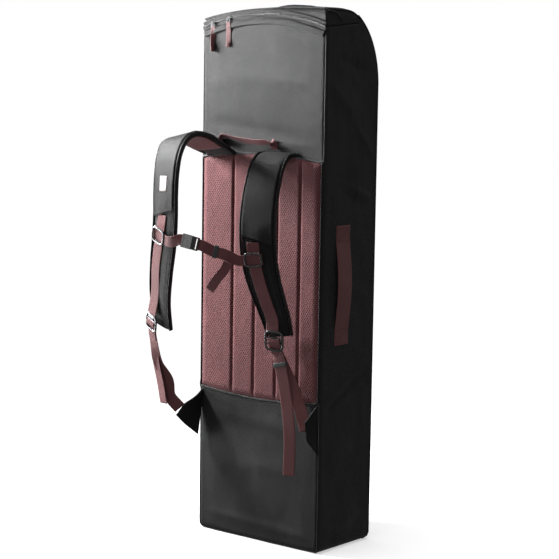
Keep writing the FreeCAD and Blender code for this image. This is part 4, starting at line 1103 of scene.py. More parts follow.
def rear_profile(count: int) -> tuple[np.ndarray, np.ndarray, np.ndarray]:
    """Rear panel's line from the hinge over the shoulder and down to the base: y, z and run."""
    turn = np.linspace(math.asin((HINGE_Y - TOP_FLAT_Y) / SHOULDER_DEEP), math.pi / 2, count // 2)
    y = np.concatenate([TOP_FLAT_Y + SHOULDER_DEEP * np.sin(turn), np.full(count, HALF_DEEP)])
    upright = np.linspace(SHOULDER_Z, 1.0, count + 1)[1:]
    z = np.concatenate([SHOULDER_Z + SHOULDER_TALL * np.cos(turn), upright])
    run = np.concatenate([[0], np.cumsum(np.hypot(np.diff(y), np.diff(z)))])
    return y, z, run


@dataclass
class Shell:
    """The cloth body of the bag, one panel for each sewn piece."""

    dresser: Dresser
    edge_round: float = 9.0
    thick: float = 3.0
    wrinkle: float = 2.2
    side_creases: tuple[Crease, ...] = (
        Crease((-27, 1020), (107, 968), 10, 3.2),
        Crease((-40, 1004), (60, 962), 9, -3.0),
        Crease((-118, 415), (110, 530), 9, 3.0),
        Crease((-110, 392), (60, 474), 10, -2.8),
        Crease((-90, 760), (100, 700), 16, 2.0),
        Crease((-100, 870), (80, 930), 13, 1.8),
        Crease((-110, 66), (105, 30), 9, 2.8),
        Crease((-110, 38), (90, 14), 8, -2.0),
        Crease((20, 1180), (106, 1080), 14, 2.4),
        Crease((-100, 1290), (20, 1200), 15, 2.0),
        Crease((-60, 1360), (60, 1330), 12, -2.4),
        Crease((-80, 250), (90, 300), 14, 1.8),
    )
    front_creases: tuple[Crease, ...] = (
        Crease((-205, 1390), (-60, 1436), 11, 2.2),
        Crease((40, 1446), (205, 1376), 12, 2.6),
        Crease((-190, 1310), (190, 1290), 22, 2.4),
        Crease((-200, 1180), (120, 1150), 16, -2.4),
        Crease((-180, 1130), (200, 1120), 12, 2.0),
        Crease((-200, 360), (180, 330), 18, 2.2),
        Crease((-190, 200), (190, 230), 26, 2.0),
        Crease((-210, 60), (205, 44), 10, 2.6),
        Crease((-200, 24), (200, 20), 8, -2.0),
    )

    def front(self) -> None:
        """Front panel from the base to the zip's arch."""
        share = np.linspace(0, 1, 190)[:, None]
        x = np.linspace(-HALF_WIDE + 0.5, HALF_WIDE - 0.5, 84)[None, :]
        x = np.repeat(x, len(share), axis=0)
        z = 1.5 + share * (zip_height(x) - 8.0 - 1.5)
        lift = waves(x, z, (120, 190), 3.0) * self.wrinkle
        for crease in self.front_creases:
            lift = lift + crease.lift(x, z)
        edge = np.minimum(HALF_WIDE - np.abs(x), 60) / 60
        lift = lift * edge + 2.0 * np.sin(np.clip(edge, 0, 1) * math.pi / 2)
        behind_pad = (z > PAD_LOW_Z - 12) & (z < PAD_TOP_Z + 22)
        lift = np.where(behind_pad, np.minimum(lift, 0.2), lift)
        y = -HALF_DEEP - lift + rolled(HALF_WIDE - np.abs(x), self.edge_round) + 0.6 * corner_in(z)
        x = x * (1 - corner_in(z) / HALF_WIDE)
        piece = make_skin("front_cloth", np.dstack([x, y, z]), np.dstack([x, z]), self.thick)
        self.dresser.dress(piece, BLACK_CLOTH, "bag", "front_upper_panel", "front_lower_panel")

    def side(self, sign: int) -> None:
        """One side gusset from the base to the crown.

        Args:
            sign: 1 for the right side, -1 for the left.
        """
        y = np.linspace(-HALF_DEEP + 0.5, HALF_DEEP - 0.5, 60)[None, :]
        share = np.linspace(0, 1, 210)[:, None]
        corner = np.full_like(y, HALF_WIDE)
        under_lid = seam_height(corner, y) - 1.0
        top = np.where(y < HINGE_Y, under_lid, top_height(corner * sign, y))
        y = np.repeat(y, len(share), axis=0)
        z = 1.5 + share * (top - 1.5)
        lift = waves(y, z, (80, 130), 7.0 + 4 * sign) * self.wrinkle
        for crease in self.side_creases:
            lift = lift + crease.lift(y if sign > 0 else -y, z if sign > 0 else z + 14)
        edge = np.clip(np.minimum(HALF_DEEP - np.abs(y), 40) / 40, 0, 1)
        behind = np.exp(-(((y + 32) / 44) ** 2) - (((z - 742) / 190) ** 4)) if sign > 0 else 0.0
        lift = np.minimum(lift * edge * (1 - behind), 4.0)
        over = rolled(HALF_DEEP - np.abs(y), self.edge_round)
        over = over + np.where(y > HINGE_Y, rolled(top - z, 12.0), 0.0)
        x = sign * (HALF_WIDE + lift - over - corner_in(z))
        lay = np.dstack([y, z])
        grid = np.dstack([x, y * (1 - 0.6 * corner_in(z) / HALF_DEEP), z])
        if sign < 0:
            grid, lay = grid[:, ::-1], lay[:, ::-1]
        name, node = (("side_cloth_right", "right_gusset"), ("side_cloth_left", "left_gusset"))[sign < 0]
        self.dresser.dress(make_skin(name, grid, lay, self.thick), BLACK_CLOTH, "bag", node)

    def rear(self) -> None:
        """Rear panel and shoulder in one length of cloth."""
        y0, z0, run = rear_profile(120)
        x = np.linspace(HALF_WIDE - 0.5, -HALF_WIDE + 0.5, 76)[None, :]
        y = np.repeat(y0[:, None], x.shape[1], axis=1)
        z = np.repeat(z0[:, None], x.shape[1], axis=1)
        x = np.repeat(x, len(y0), axis=0)
        along = np.repeat(run[:, None], x.shape[1], axis=1)
        lift = waves(x, along, (110, 170), 15.0) * self.wrinkle * 1.2
        lift = np.minimum(lift, 2.6) * np.clip((HALF_WIDE - np.abs(x)) / 50, 0, 1) - 1.6
        over = rolled(HALF_WIDE - np.abs(x), self.edge_round)
        top = np.where(y < HALF_DEEP - 1e-6, top_height(x, y), z)
        down = np.clip((z - SHOULDER_Z) / SHOULDER_TALL, 0, 1)
        z = np.minimum(z, top) + (lift - over) * down
        y = y + (lift - over) * (1 - down) - 0.6 * corner_in(z)
        x = x * (1 - corner_in(z) / HALF_WIDE)
        piece = make_skin("rear_cloth", np.dstack([x, y, z]), np.dstack([x, along]), self.thick)
        self.dresser.dress(piece, BLACK_CLOTH, "bag", "rear_panel", "rear_shoulder_panel")

    def base(self) -> None:
        """Base panel, a tough flat bottom with rounded edges."""
        x = np.linspace(-HALF_WIDE + 14, HALF_WIDE - 14, 60)[None, :]
        y = np.linspace(HALF_DEEP - 9, -HALF_DEEP + 9, 34)[:, None]
        x, y = np.repeat(x, 34, axis=0), np.repeat(y, 60, axis=1)
        inset = np.minimum(HALF_WIDE - 12 - np.abs(x), HALF_DEEP - 7 - np.abs(y))
        piece = make_skin("base_cloth", np.dstack([x, y, rolled(inset, 6.0)]), np.dstack([x, y]), self.thick)
        self.dresser.dress(piece, BLACK_CLOTH, "bag", "base_panel")

    def crown_rings(self) -> np.ndarray:
        """The lid's surface as U-shaped rings from its lower rim up and in to the hinge line."""
        wall = np.linspace(0.0, 1.0, 6)
        inset = np.concatenate([
            np.zeros(len(wall)), np.linspace(0, 1, 9)[1:] * 18.0, np.linspace(18.0, 142.0, 34)[1:]])
        climb = np.concatenate([wall, np.ones(len(inset) - len(wall))])
        rings = []
        for d, w in zip(inset, climb):
            half = HALF_WIDE - 1.0 - d
            front = -HALF_DEEP + 0.5 + d
            corner = min(7.0, max(0.5, (HINGE_Y - front) * 0.4))
            left = np.column_stack([np.full(22, -half), np.linspace(HINGE_Y, front + corner, 22)])
            turn = np.linspace(math.pi, 1.5 * math.pi, 7)[1:-1]
            bend = np.column_stack([
                -half + corner + corner * np.cos(turn), front + corner + corner * np.sin(turn)])
            middle = np.column_stack([np.linspace(-half + corner, half - corner, 90), np.full(90, front)])
            path = np.vstack([left, bend, middle, bend[::-1] * [-1, 1], left[::-1] * [-1, 1]])
            x, y = path[:, 0], path[:, 1]
            top = top_height(x, y) - 0.5
            low = seam_height(x, y) + np.where(np.abs(x) > HALF_WIDE - 12, 0.6, 6.0)
            edge = np.minimum(18.0, 0.8 * (top - low))
            round_off = edge - np.sqrt(np.maximum(edge**2 - np.maximum(edge - d, 0) ** 2, 0))
            z = np.where(w < 1, low + (top - edge - low) * w, top - round_off)
            rings.append(np.column_stack([x, y, z]))
        return np.array(rings)

    def crown(self) -> None:
        """The lid, from the zip's upper tape to its hinge."""
        rings = self.crown_rings()
        x, y, z = rings[..., 0], rings[..., 1], rings[..., 2]
        over_top = np.linspace(0, 1, len(rings))[:, None] > 0.3
        lift = waves(x, y, (70, 60), 21.0) * 2.4
        sag = -3.0 * np.exp(-((x / 120) ** 2) - ((y + 10) / 50) ** 2)
        crease = Crease((216, -32), (120, 8), 9, -4.0).lift(x, y)
        crease = crease + Crease((216, -84), (150, -20), 10, 2.2).lift(x, y)
        z = z + np.where(over_top, np.minimum(lift + sag + crease, 0.3), 0.0)
        grid = np.dstack([x, y, z])
        lay = np.dstack([x, y - z])
        piece = make_skin("crown_cloth", grid, lay, self.thick)
        self.dresser.dress(piece, BLACK_CLOTH, "crown_lid", "crown_panel")

    def piping(self) -> None:
        """Corded seams at the four upright edges and round the lid."""
        for sign, name in ((-1, "left"), (1, "right")):
            rise = np.concatenate([np.linspace(2.6, 26, 12), np.linspace(40, 1440, 50)])
            upright = np.column_stack([sign * (HALF_WIDE - 2.6 - corner_in(rise)),
                                       -HALF_DEEP + 2.6 + 0.6 * corner_in(rise), rise])
            piece = make_tube(f"front_piping_{name}", upright, 2.7, 12.0)
            self.dresser.dress(piece, BLACK_BINDING, "bag", f"corner_piping_{name}")
            y, zed, _ = rear_profile(60)
            rows = np.column_stack([np.full(len(y), sign * (HALF_WIDE - 4.0)), y, zed])
            corner = np.full(len(y), sign * (HALF_WIDE - 4.0))
            capped = np.minimum(zed, top_height(corner, y))
            rows[:, 2] = np.where(y < HALF_DEEP - 1e-6, capped, zed) - 2.0
            rows[:, 1] = np.where(y > HALF_DEEP - 20, y - 3.4, y)
            rows = rows[rows[:, 2] > 3]
            rows[:, 0] -= sign * corner_in(rows[:, 2])
            rows[:, 1] -= 0.6 * corner_in(rows[:, 2])
            self.dresser.dress(make_tube(f"rear_piping_{name}", rows, 2.5, 12.0), BLACK_BINDING, "bag")
            run = np.linspace(HINGE_Y - 2, -HALF_DEEP + 6, 20)
            lid_edge = np.full(len(run), HALF_WIDE - 4.5)
            lid = np.column_stack([sign * lid_edge, run, top_height(sign * lid_edge, run) - 5.2])
            self.dresser.dress(make_tube(f"crown_piping_{name}", lid, 2.3, 8.0), BLACK_BINDING, "crown_lid")
            back = np.array([-114.0, -100.0, -84.0, -70.0, -58.0, -50.0])
            edge = np.full(6, sign * (HALF_WIDE - 0.4))
            drop = np.array([0.20, 0.20, 0.27, 0.42, 0.62, 0.78])
            top, low = top_height(edge, back), seam_height(edge, back)
            side = np.column_stack([edge, back, top - drop * (top - low)])
            piece = make_tube(f"crown_side_piping_{name}", side, 2.6, 6.0)
            self.dresser.dress(piece, BLACK_BINDING, "crown_lid")
        x = np.linspace(-HALF_WIDE + 6, HALF_WIDE - 6, 60)
        front = np.column_stack([x, np.full(60, -HALF_DEEP + 4.0), crown_height(x) - 5.4])
        self.dresser.dress(make_tube("crown_piping_front", front, 2.3, 8.0), BLACK_BINDING, "crown_lid")

    def stitching(self) -> None:
        """Sewn rows beside the seams and across the sides."""
        rows = []
        for sign in (-1, 1):
            out = np.array([sign, 0.0, 0.0])
            for level in (1055.0, 1030.0, 574.0, 549.0):
                y = np.linspace(-110, 112, 12)
                line = np.column_stack([np.full(12, sign * (HALF_WIDE + 0.7)), y, np.full(12, level)])
                rows.append((line, np.tile(out, (12, 1))))
            for y in (-HALF_DEEP + 13, HALF_DEEP - 13):
                line = np.column_stack([
                    np.full(12, sign * (HALF_WIDE + 0.5)), np.full(12, y), np.linspace(20, 1230, 12)])
                rows.append((line, np.tile(out, (12, 1))))
        for x in (-HALF_WIDE + 13, HALF_WIDE - 13):
            line = np.column_stack([np.full(12, x), np.full(12, -HALF_DEEP - 2.0), np.linspace(20, 1400, 12)])
            rows.append((line, np.tile([0.0, -1.0, 0.0], (12, 1))))
        x = np.linspace(-205, 205, 30)
        rows.append((np.column_stack([x, np.full(30, -HALF_DEEP - 2.2), zip_height(x) - 18]),
                     np.tile([0.0, -1.0, 0.0], (30, 1))))
        self.dresser.dress(make_stitches("shell_stitches", rows), BLACK_THREAD, "bag")

    def build(self) -> None:
        """Builds every panel and seam of the shell."""
        self.front()
        self.side(1)
        self.side(-1)
        self.rear()
        self.base()
        self.crown()
        self.piping()
        self.stitching()


@dataclass
class BackPad:
    """Quilted mesh panel that rests on the wearer's back."""

    dresser: Dresser
    half_wide: float = 214.0
    seams: tuple[float, ...] = (-95.0, -15.0, 65.0, 145.0)
    crown: float = 6.5
    seam_depth: float = 4.5

    def top_z(self, x: np.ndarray) -> np.ndarray:
        """Upper edge, which rises in the middle."""
        return PAD_TOP_Z + 16 * (1 - (x / self.half_wide) ** 2)

    def low_z(self, x: np.ndarray) -> np.ndarray:
        """Lower edge, which dips in the middle."""
        return PAD_LOW_Z - 14 * (1 - (x / self.half_wide) ** 2)

    def build(self) -> None:
        """Builds the quilted mesh, its piped edge and its seams."""
        x = np.linspace(-self.half_wide, self.half_wide, 170)[None, :]
        share = np.linspace(0, 1, 170)[:, None]
        x = np.repeat(x, 170, axis=0)
        low, top = self.low_z(x), self.top_z(x)
        z = low + share * (top - low)
        inset = np.minimum(np.minimum(self.half_wide - np.abs(x), z - low), top - z)
        lift = self.crown * np.sin(np.clip(inset / 22, 0, 1) * math.pi / 2)
        fade = np.clip(inset / 26, 0, 1)
        for seam in self.seams:
            lift = lift - self.seam_depth * fade * np.exp(-(((x - seam) / 4.5) ** 2))
        lift = lift + 0.7 * waves(x, z, (60, 90), 31.0) * fade
        y = -HALF_DEEP - 1.2 - lift
        piece = make_skin("mesh_back_pad", np.dstack([x, y, z]), np.dstack([x, z]), 6.0)
        self.dresser.dress(piece, MAROON_MESH, "bag", "back_pad_cover", padded=0.55)
        edge = np.linspace(-self.half_wide, self.half_wide, 40)
        loop = np.vstack([
            np.column_stack([edge, np.full(40, -HALF_DEEP - 2.6), self.top_z(edge)]),
            np.column_stack([edge[::-1], np.full(40, -HALF_DEEP - 2.6), self.low_z(edge[::-1])]),
        ])
        for name, line in (("upper", loop[:40]), ("lower", loop[40:])):
            self.dresser.dress(make_tube(f"back_pad_edge_{name}", line, 2.6, 10.0), BLACK_BINDING, "bag")
        for sign, name in ((-1, "left"), (1, "right")):
            side = np.column_stack([np.full(30, sign * self.half_wide), np.full(30, -HALF_DEEP - 2.6),
                                    np.linspace(PAD_LOW_Z, PAD_TOP_Z, 30)])
            self.dresser.dress(make_tube(f"back_pad_edge_{name}", side, 2.6, 10.0), BLACK_BINDING, "bag")
        rows = []
        for seam in self.seams:
            depth = -HALF_DEEP - 1.2 - self.crown + self.seam_depth - 0.2
            line = np.column_stack([
                np.full(20, seam), np.full(20, depth), np.linspace(PAD_LOW_Z + 8, PAD_TOP_Z - 4, 20)])
            rows.append((line, np.tile([0.0, -1.0, 0.0], (20, 1))))
        self.dresser.dress(make_stitches("back_pad_stitches", rows), MAROON_THREAD, "bag")


# ---------------------------------------------------------------------------------------------
# Zips
# ---------------------------------------------------------------------------------------------
def make_coil(name: str, line: np.ndarray, outward: np.ndarray, pitch: float, wide: float, tall: float,
              lean: float) -> bpy.types.Object:
    """One side of a zip: a bead of nylon for each tooth.

    Args:
        name: The piece's name.
        line: Points along the teeth, in millimetres.
        outward: Outward direction at each point.
        pitch: Distance between teeth.
        wide: Tooth length across the zip.
        tall: How far a tooth stands out.
        lean: Which half of the pitch the teeth take, from 0 to 1.

    Returns:
        All the teeth as one mesh.
    """
    rows = smooth_line(np.hstack([line, outward]), pitch)
    run = np.concatenate([[0], np.cumsum(np.linalg.norm(np.diff(rows[:, :3], axis=0), axis=1))])
    points, faces, lay = [], [], []
    for s in np.arange(pitch * lean, run[-1] - pitch, pitch):
        at = [np.interp(s, run, rows[:, k]) for k in range(6)]
        ahead = np.array([np.interp(s + 1.0, run, rows[:, k]) for k in range(3)])
        here, out = np.array(at[:3]), np.array(at[3:])
        along = (ahead - here) / max(np.linalg.norm(ahead - here), 1e-9)
        across = np.cross(out, along)
        first = len(points)
        for a, o, half in ((-0.5, 0.1, 0.36), (-0.35, 0.85, 0.26), (0.35, 0.85, 0.26), (0.5, 0.1, 0.36)):
            middle = here + across * a * wide + out * o * tall
            points += [middle - along * pitch * half, middle + along * pitch * half]
        lay += [(0, s * MM, 0)] * 8
        faces += [tuple(first + i for i in f) for f in (
            (0, 1, 3, 2), (2, 3, 5, 4), (4, 5, 7, 6), (6, 7, 1, 0), (0, 2, 4, 6), (7, 5, 3, 1))]
    return write_mesh(name, np.array(points), faces, np.array(lay))


@dataclass
class Zips:
    """The arched front zip with its two pullers, and the side zip."""

    dresser: Dresser
    nodes: dict[str, bpy.types.Object]
    tape_wide: float = 11.0
    face_y: float = -121.2

    def arch(self, radius: float, count: int = 60, reach: float = 219.0) -> np.ndarray:
        """Points on the front face along an arch of this radius."""
        x = np.linspace(-reach, reach, count)
        z = ARCH_CENTRE_Z + np.sqrt(radius**2 - x**2)
        return np.column_stack([x, np.full(count, self.face_y), z])

    def tape(self, name: str, offset: float, body: str, *nodes: str) -> None:
        """One strip of tape beside the teeth."""
        line = self.arch(ZIP_RADIUS + offset)
        radial = unit_rows(line - [0, self.face_y, ARCH_CENTRE_Z])
        frames = tuple(map(tuple, np.hstack([line, radial, np.full((len(line), 1), self.tape_wide)])))
        self.dresser.dress(Band(thick=1.2, step=8.0, samples=7).build(name, frames), ZIP_TAPE, body, *nodes)

    def front(self) -> None:
        """Tapes, teeth and the cloth flap of the front zip."""
        self.tape("front_zip_tape_lower", -7.0, "bag", "zip_tape_lower")
        self.tape("front_zip_tape_upper", 7.0, "crown_lid", "zip_tape_upper")
        for name, offset, body, node, lean in (("lower", -1.1, "bag", "zip_teeth_lower", 0.0),
                                               ("upper", 1.1, "crown_lid", "zip_teeth_upper", 0.5)):
            line = self.arch(ZIP_RADIUS + offset, 90)
            out = np.tile([0.0, -1.0, 0.0], (len(line), 1))
            coil = make_coil(f"front_zip_coil_{name}", line - [0, 0.3, 0], out, 2.4, 3.6, 2.0, lean)
            self.dresser.dress(coil, ZIP_COIL, body, node)
        line = self.arch(ZIP_RADIUS - 21.0, 60, 214.0)
        radial = unit_rows(line - [0, self.face_y, ARCH_CENTRE_Z]) + [0, 0.14, 0]
        frames = tuple(map(tuple, np.hstack([line - [0, 2.6, 0], radial, np.full((60, 1), 16.0)])))
        flap = Band(thick=3.4, fullness=8.0, step=8.0, ripple=0.8, seed=52.0).build("zip_flap_cloth", frames)
        self.dresser.dress(flap, BLACK_CLOTH, "bag")
        rows = [(self.arch(ZIP_RADIUS - 26.5, 60, 212.0) - [0, 5.2, 0], np.tile([0.0, -1.0, 0.0], (60, 1)))]
        self.dresser.dress(make_stitches("zip_stitches_lower", rows), BLACK_THREAD, "bag")
        rows = [(self.arch(ZIP_RADIUS + 10.5, 60) - [0, 1.0, 0], np.tile([0.0, -1.0, 0.0], (60, 1)))]
        self.dresser.dress(make_stitches("zip_stitches_upper", rows), BLACK_THREAD, "crown_lid")

    def puller(self, number: int, twist: float) -> None:
        """Webbing tab on a slider's bail.

        Args:
            number: Which slider.
            twist: Turn of the tab from top to bottom, in radians.
        """
        low, high = (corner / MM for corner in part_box(f"pull_tab_{number}"))
        x, y = (low.x + high.x) / 2, (low.y + high.y) / 2
        tall = high.z - low.z
        frames = []
        for i, share in enumerate((0.0, 0.2, 0.45, 0.7, 0.88, 1.0)):
            turn = twist * share
            frames.append((x + 1.5 * math.sin(3 * share), y, high.z - tall * share,
                           math.cos(turn), math.sin(turn), 0.0, (13.0, 15.0, 16.0, 15.5, 15.0, 14.0)[i]))
        band = Band(thick=2.6, step=3.0, ripple=0.4, seed=40.0 + number)
        band = band.build(f"pull_webbing_{number}", tuple(frames))
        self.dresser.dress(band, MAROON_WEBBING, f"puller_{number}", f"pull_tab_{number}")
        knot = Band(thick=5.4, fullness=4.0, step=2.0).build(f"pull_fold_{number}", (
            *((x + 0.3, y, low.z + up, math.cos(twist), math.sin(twist), 0.0, 15.5)
              for up in (13.0, 6.5, 0.4)),))
        self.dresser.dress(knot, MAROON_WEBBING, f"puller_{number}")

    def side(self) -> None:
        """Zip down the left side, with its end tab."""
        low, high = (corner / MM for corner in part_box("side_zip_teeth"))
        y, x = (low.y + high.y) / 2, -HALF_WIDE - 0.6
        z = np.linspace(high.z, low.z, 60)
        line = np.column_stack([np.full(60, x), np.full(60, y), z])
        out = np.tile([-1.0, 0.0, 0.0], (60, 1))
        frames = tuple((x, y, float(h), 0.0, 1.0, 0.0, 26.0) for h in (high.z, (high.z + low.z) / 2, low.z))
        piece = Band(thick=1.4, step=12.0).build("side_zip_cloth", frames)
        self.dresser.dress(piece, ZIP_TAPE, "bag", "side_zip_tape")
        for name, shift, lean in (("front", -1.1, 0.0), ("rear", 1.1, 0.5)):
            coil = make_coil(f"side_zip_coil_{name}", line + [-0.3, shift, 0], out, 2.6, 3.6, 2.0, lean)
            self.dresser.dress(coil, ZIP_COIL, "bag", *(("side_zip_teeth",) if name == "front" else ()))
        low, high = (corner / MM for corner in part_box("side_zip_end_tab"))
        middle_y = (low.y + high.y) / 2
        depth = high.x - low.x
        frames = []
        for turn in np.linspace(-0.5 * math.pi, 0.5 * math.pi, 9):
            out_share = max(math.cos(turn), 0.0)
            frames.append((high.x - out_share * (depth - 1.5), middle_y,
                           (low.z + high.z) / 2 - math.sin(turn) * (high.z - low.z - 4) / 2,
                           0.0, 1.0, 0.0, 18.0))
        piece = Band(thick=1.8, step=3.0).build("side_zip_loop", tuple(frames))
        self.dresser.dress(piece, BLACK_BINDING, "bag", "side_zip_end_tab")

    def build(self) -> None:
        """Builds both zips."""
        self.front()
        self.puller(1, 1.35)
        self.puller(2, 0.25)
        self.side()
        self.dresser.keep(
            self.nodes, SLIDER_METAL, "zip_slider_1", "zip_slider_2", "puller_bail_1", "puller_bail_2")


# ---------------------------------------------------------------------------------------------
# Harness
# ---------------------------------------------------------------------------------------------
@dataclass(frozen=True)
class Strap:
    """One length of webbing: the stretch of line that it follows, its finish and its body."""

    line: str
    body: str
    finish: ClothFinish = MAROON_WEBBING
    ripple: float = 0.5
    seed: float = 0.0
    stretch: tuple[int, int | None] = (0, None)
    part: str = ""
    bend: Bend | None = None


@dataclass
class Harness:
    """Shoulder pads, webbing, wings and keepers of the folded harness."""

    dresser: Dresser
    nodes: dict[str, bpy.types.Object]
    pad_thick: float = 10.6
    slants: dict[str, float] = field(default_factory=lambda: {"left": 11.0, "right": -17.0})
    straps: tuple[Strap, ...] = (
        Strap("haul_handle", "bag", ripple=0.6, seed=1.0),
        Strap("grab_handle", "grab_loop", ripple=1.0, seed=2.0),
        Strap("shoulder_webbing_left", "harness", ripple=0.3, seed=3.0),
        Strap("shoulder_webbing_right", "harness", ripple=0.3, seed=4.0),
        Strap("lower_webbing_left", "harness", seed=5.0, ripple=0.0, stretch=(0, 9), part="_run",
              bend=Bend("bag", "harness", (-225.2, -199.8, 363.1), (-251.6, -285.4, 615.8))),
        Strap("lower_webbing_left", "harness", seed=5.0, ripple=0.0, stretch=(8, None), part="_tail"),
        Strap("lower_webbing_right", "harness", seed=6.0, ripple=0.0, stretch=(0, 8), part="_run",
              bend=Bend("bag", "harness", (185.7, -135.8, 347.1), (91.9, -160.7, 585.4))),
        Strap("lower_webbing_right", "harness", seed=6.0, ripple=0.0, stretch=(7, None), part="_tail"),
        Strap("sternum_webbing_left", "sternum", ripple=0.3, seed=7.0),
        Strap("sternum_webbing_right", "sternum", ripple=0.3, seed=8.0,
              bend=Bend("plug", "sternum", (-34.2, -338.1, 855.5), (36.6, -258.1, 812.8))),
        Strap("sternum_tail", "sternum", ripple=1.2, seed=9.0),
    )

    def webbing(self) -> None:
        """Every strap, along its own line."""
        for strap in self.straps:
            name = {"haul_handle": "haul_handle_right"}.get(strap.line, strap.line)
            nodes = () if strap.part == "_tail" else (name,)
            first, last = strap.stretch
            band = Band(thick=1.9, step=3.0, samples=13, ripple=strap.ripple, seed=strap.seed)
            piece = band.build(f"{strap.line}{strap.part}_cloth", LINES[strap.line][first:last])
            self.dresser.dress(piece, strap.finish, strap.body, *nodes, bend=strap.bend)

    def pad(self, side: str) -> None:
        """One shoulder pad with its lining, cover and bound edges.

        Args:
            side: left or right.
        """
        body = Band(thick=self.pad_thick, fullness=7.0, step=7.0, samples=25, shrink=1.5)
        seed = 3.0 if side == "left" else 8.0

        def soft(share: np.ndarray, run: np.ndarray) -> np.ndarray:
            """Quilted crown: fuller between the two long seams."""
            swell = 0.9 * np.cos(np.clip(np.abs(share), 0, 1) * math.pi / 2)
            seam = 1.3 * np.exp(-(((np.abs(share) - 0.80) / 0.035) ** 2))
            flat = np.broadcast_arrays(share, run)
            buckle = 0.25 * waves(flat[0] * 30, flat[1], (24, 34), seed)
            return swell - seam + buckle

        piece = body.build(f"shoulder_pad_{side}_cloth", LINES[f"pad_{side}"], soft)
        self.dresser.dress(piece, PAD_CLOTH, "harness", f"shoulder_pad_{side}", padded=0.8)
        lining = Band(thick=2.0, fullness=12.0, step=6.0, samples=15)
        piece = lining.build(f"pad_lining_{side}_mesh", LINES[f"lining_{side}"])
        self.dresser.dress(piece, MAROON_MESH, "harness", f"pad_lining_{side}")
        cover = Band(thick=2.2, fullness=30.0, step=5.0, samples=21, ripple=0.5, seed=seed,
                     slant=self.slants[side])
        steps = np.diff(np.array(LINES[f"webbing_cover_{side}"])[:, :3], axis=0)
        whole = float(np.sum(np.linalg.norm(steps, axis=1)))

        def over_webbing(share: np.ndarray, run: np.ndarray) -> np.ndarray:
            """Lift of the cover where the webbing comes out from under it."""
            return 2.4 * np.clip((run - whole + 60) / 40, 0, 1) * np.clip(1.6 - 2.2 * np.abs(share), 0, 1)

        piece = cover.build(f"webbing_cover_{side}_cloth", LINES[f"webbing_cover_{side}"], over_webbing)
        self.dresser.dress(piece, PAD_CLOTH, "harness", f"webbing_cover_{side}")
        for edge in ("outer", "inner"):
            bind = Band(thick=12.6, fullness=2.6, step=6.0, samples=9)
            nodes = (f"pad_binding_{side}",) if edge == "outer" else ()
            piece = bind.build(f"pad_binding_{side}_{edge}", LINES[f"binding_{side}_{edge}"])
            self.dresser.dress(piece, BLACK_BINDING, "harness", *nodes)
        self.pad_stitches(side)

    def pad_stitches(self, side: str) -> None:
        """Two rows of thread down the pad's cover and two across its end."""
        frames = np.array(LINES[f"webbing_cover_{side}"], float)
        rows = smooth_line(frames, 20.0)
        across, out = line_directions(rows[:, :3], rows[:, 3:6])
        half = rows[:, 6:7] / 2
        lines = [(rows[:, :3] + across * share * half + out * 1.4, out) for share in (-0.93, 0.93)]
        end, turn, facing, wide = rows[-1, :3], across[-1], out[-1], rows[-1, 6]
        along = unit_rows((rows[-1, :3] - rows[-2, :3])[None, :])[0]
        for back in (3.0, 9.0):
            t = np.linspace(-0.44, 0.44, 8)[:, None]
            line = end - along * (back - 2 * t * self.slants[side]) + turn * t * wide + facing * 1.7
            lines.append((line, np.tile(facing, (8, 1))))
        self.dresser.dress(make_stitches(f"pad_stitches_{side}", lines), BLACK_THREAD, "harness")

    def patch(self) -> None:
        """Plain patch on the left pad, with its stitched rim."""
        frames = np.array(LINES["patch"], float)
        patch = Band(thick=1.3, fullness=30.0, step=6.0).build("plain_patch_cloth", LINES["patch"])
        self.dresser.dress(patch, PALE_PATCH, "harness", "plain_patch")
        across, out = line_directions(frames[:, :3], frames[:, 3:6])
        top, low = frames[:, :3] + out * 0.9
        turn = across[0] * (frames[0, 6] / 2 - 2)
        trim = unit_rows((low - top)[None, :])[0] * 2
        corners = [top + trim - turn, top + trim + turn, low - trim + turn, low - trim - turn]
        corners.append(corners[0])
        rows = [(np.array([a, b]), np.array([out[0], out[0]])) for a, b in zip(corners, corners[1:])]
        self.dresser.dress(make_stitches("patch_stitches", rows, 2.2, 3.4, 0.4), BLACK_THREAD, "harness")

    def wing(self, side: str, seam: tuple[float, ...], free: tuple[float, ...]) -> None:
        """Cloth gusset that anchors a lower webbing.

        Args:
            side: left or right.
            seam: The station at the bag's corner seam.
            free: The station at the free edge.
        """
        middle = tuple((a + b) / 2 for a, b in zip(seam, free))
        frames = (seam, middle, free)
        piece = Band(thick=3.0, fullness=30.0, step=6.0, samples=21, ripple=0.6, seed=11.0).build(
            f"wing_{side}_cloth", frames)
        self.dresser.dress(piece, PAD_CLOTH, "bag", f"wing_{side}")
        rows = np.array(frames)
        across, _ = line_directions(rows[:, :3], rows[:, 3:6])
        for name, share in (("upper", 1.0), ("lower", -1.0)):
            edge = rows[:, :3] + across * share * rows[:, 6:7] / 2
            self.dresser.dress(make_tube(f"wing_{side}_trim_{name}", edge, 2.4, 8.0), BLACK_BINDING, "bag")

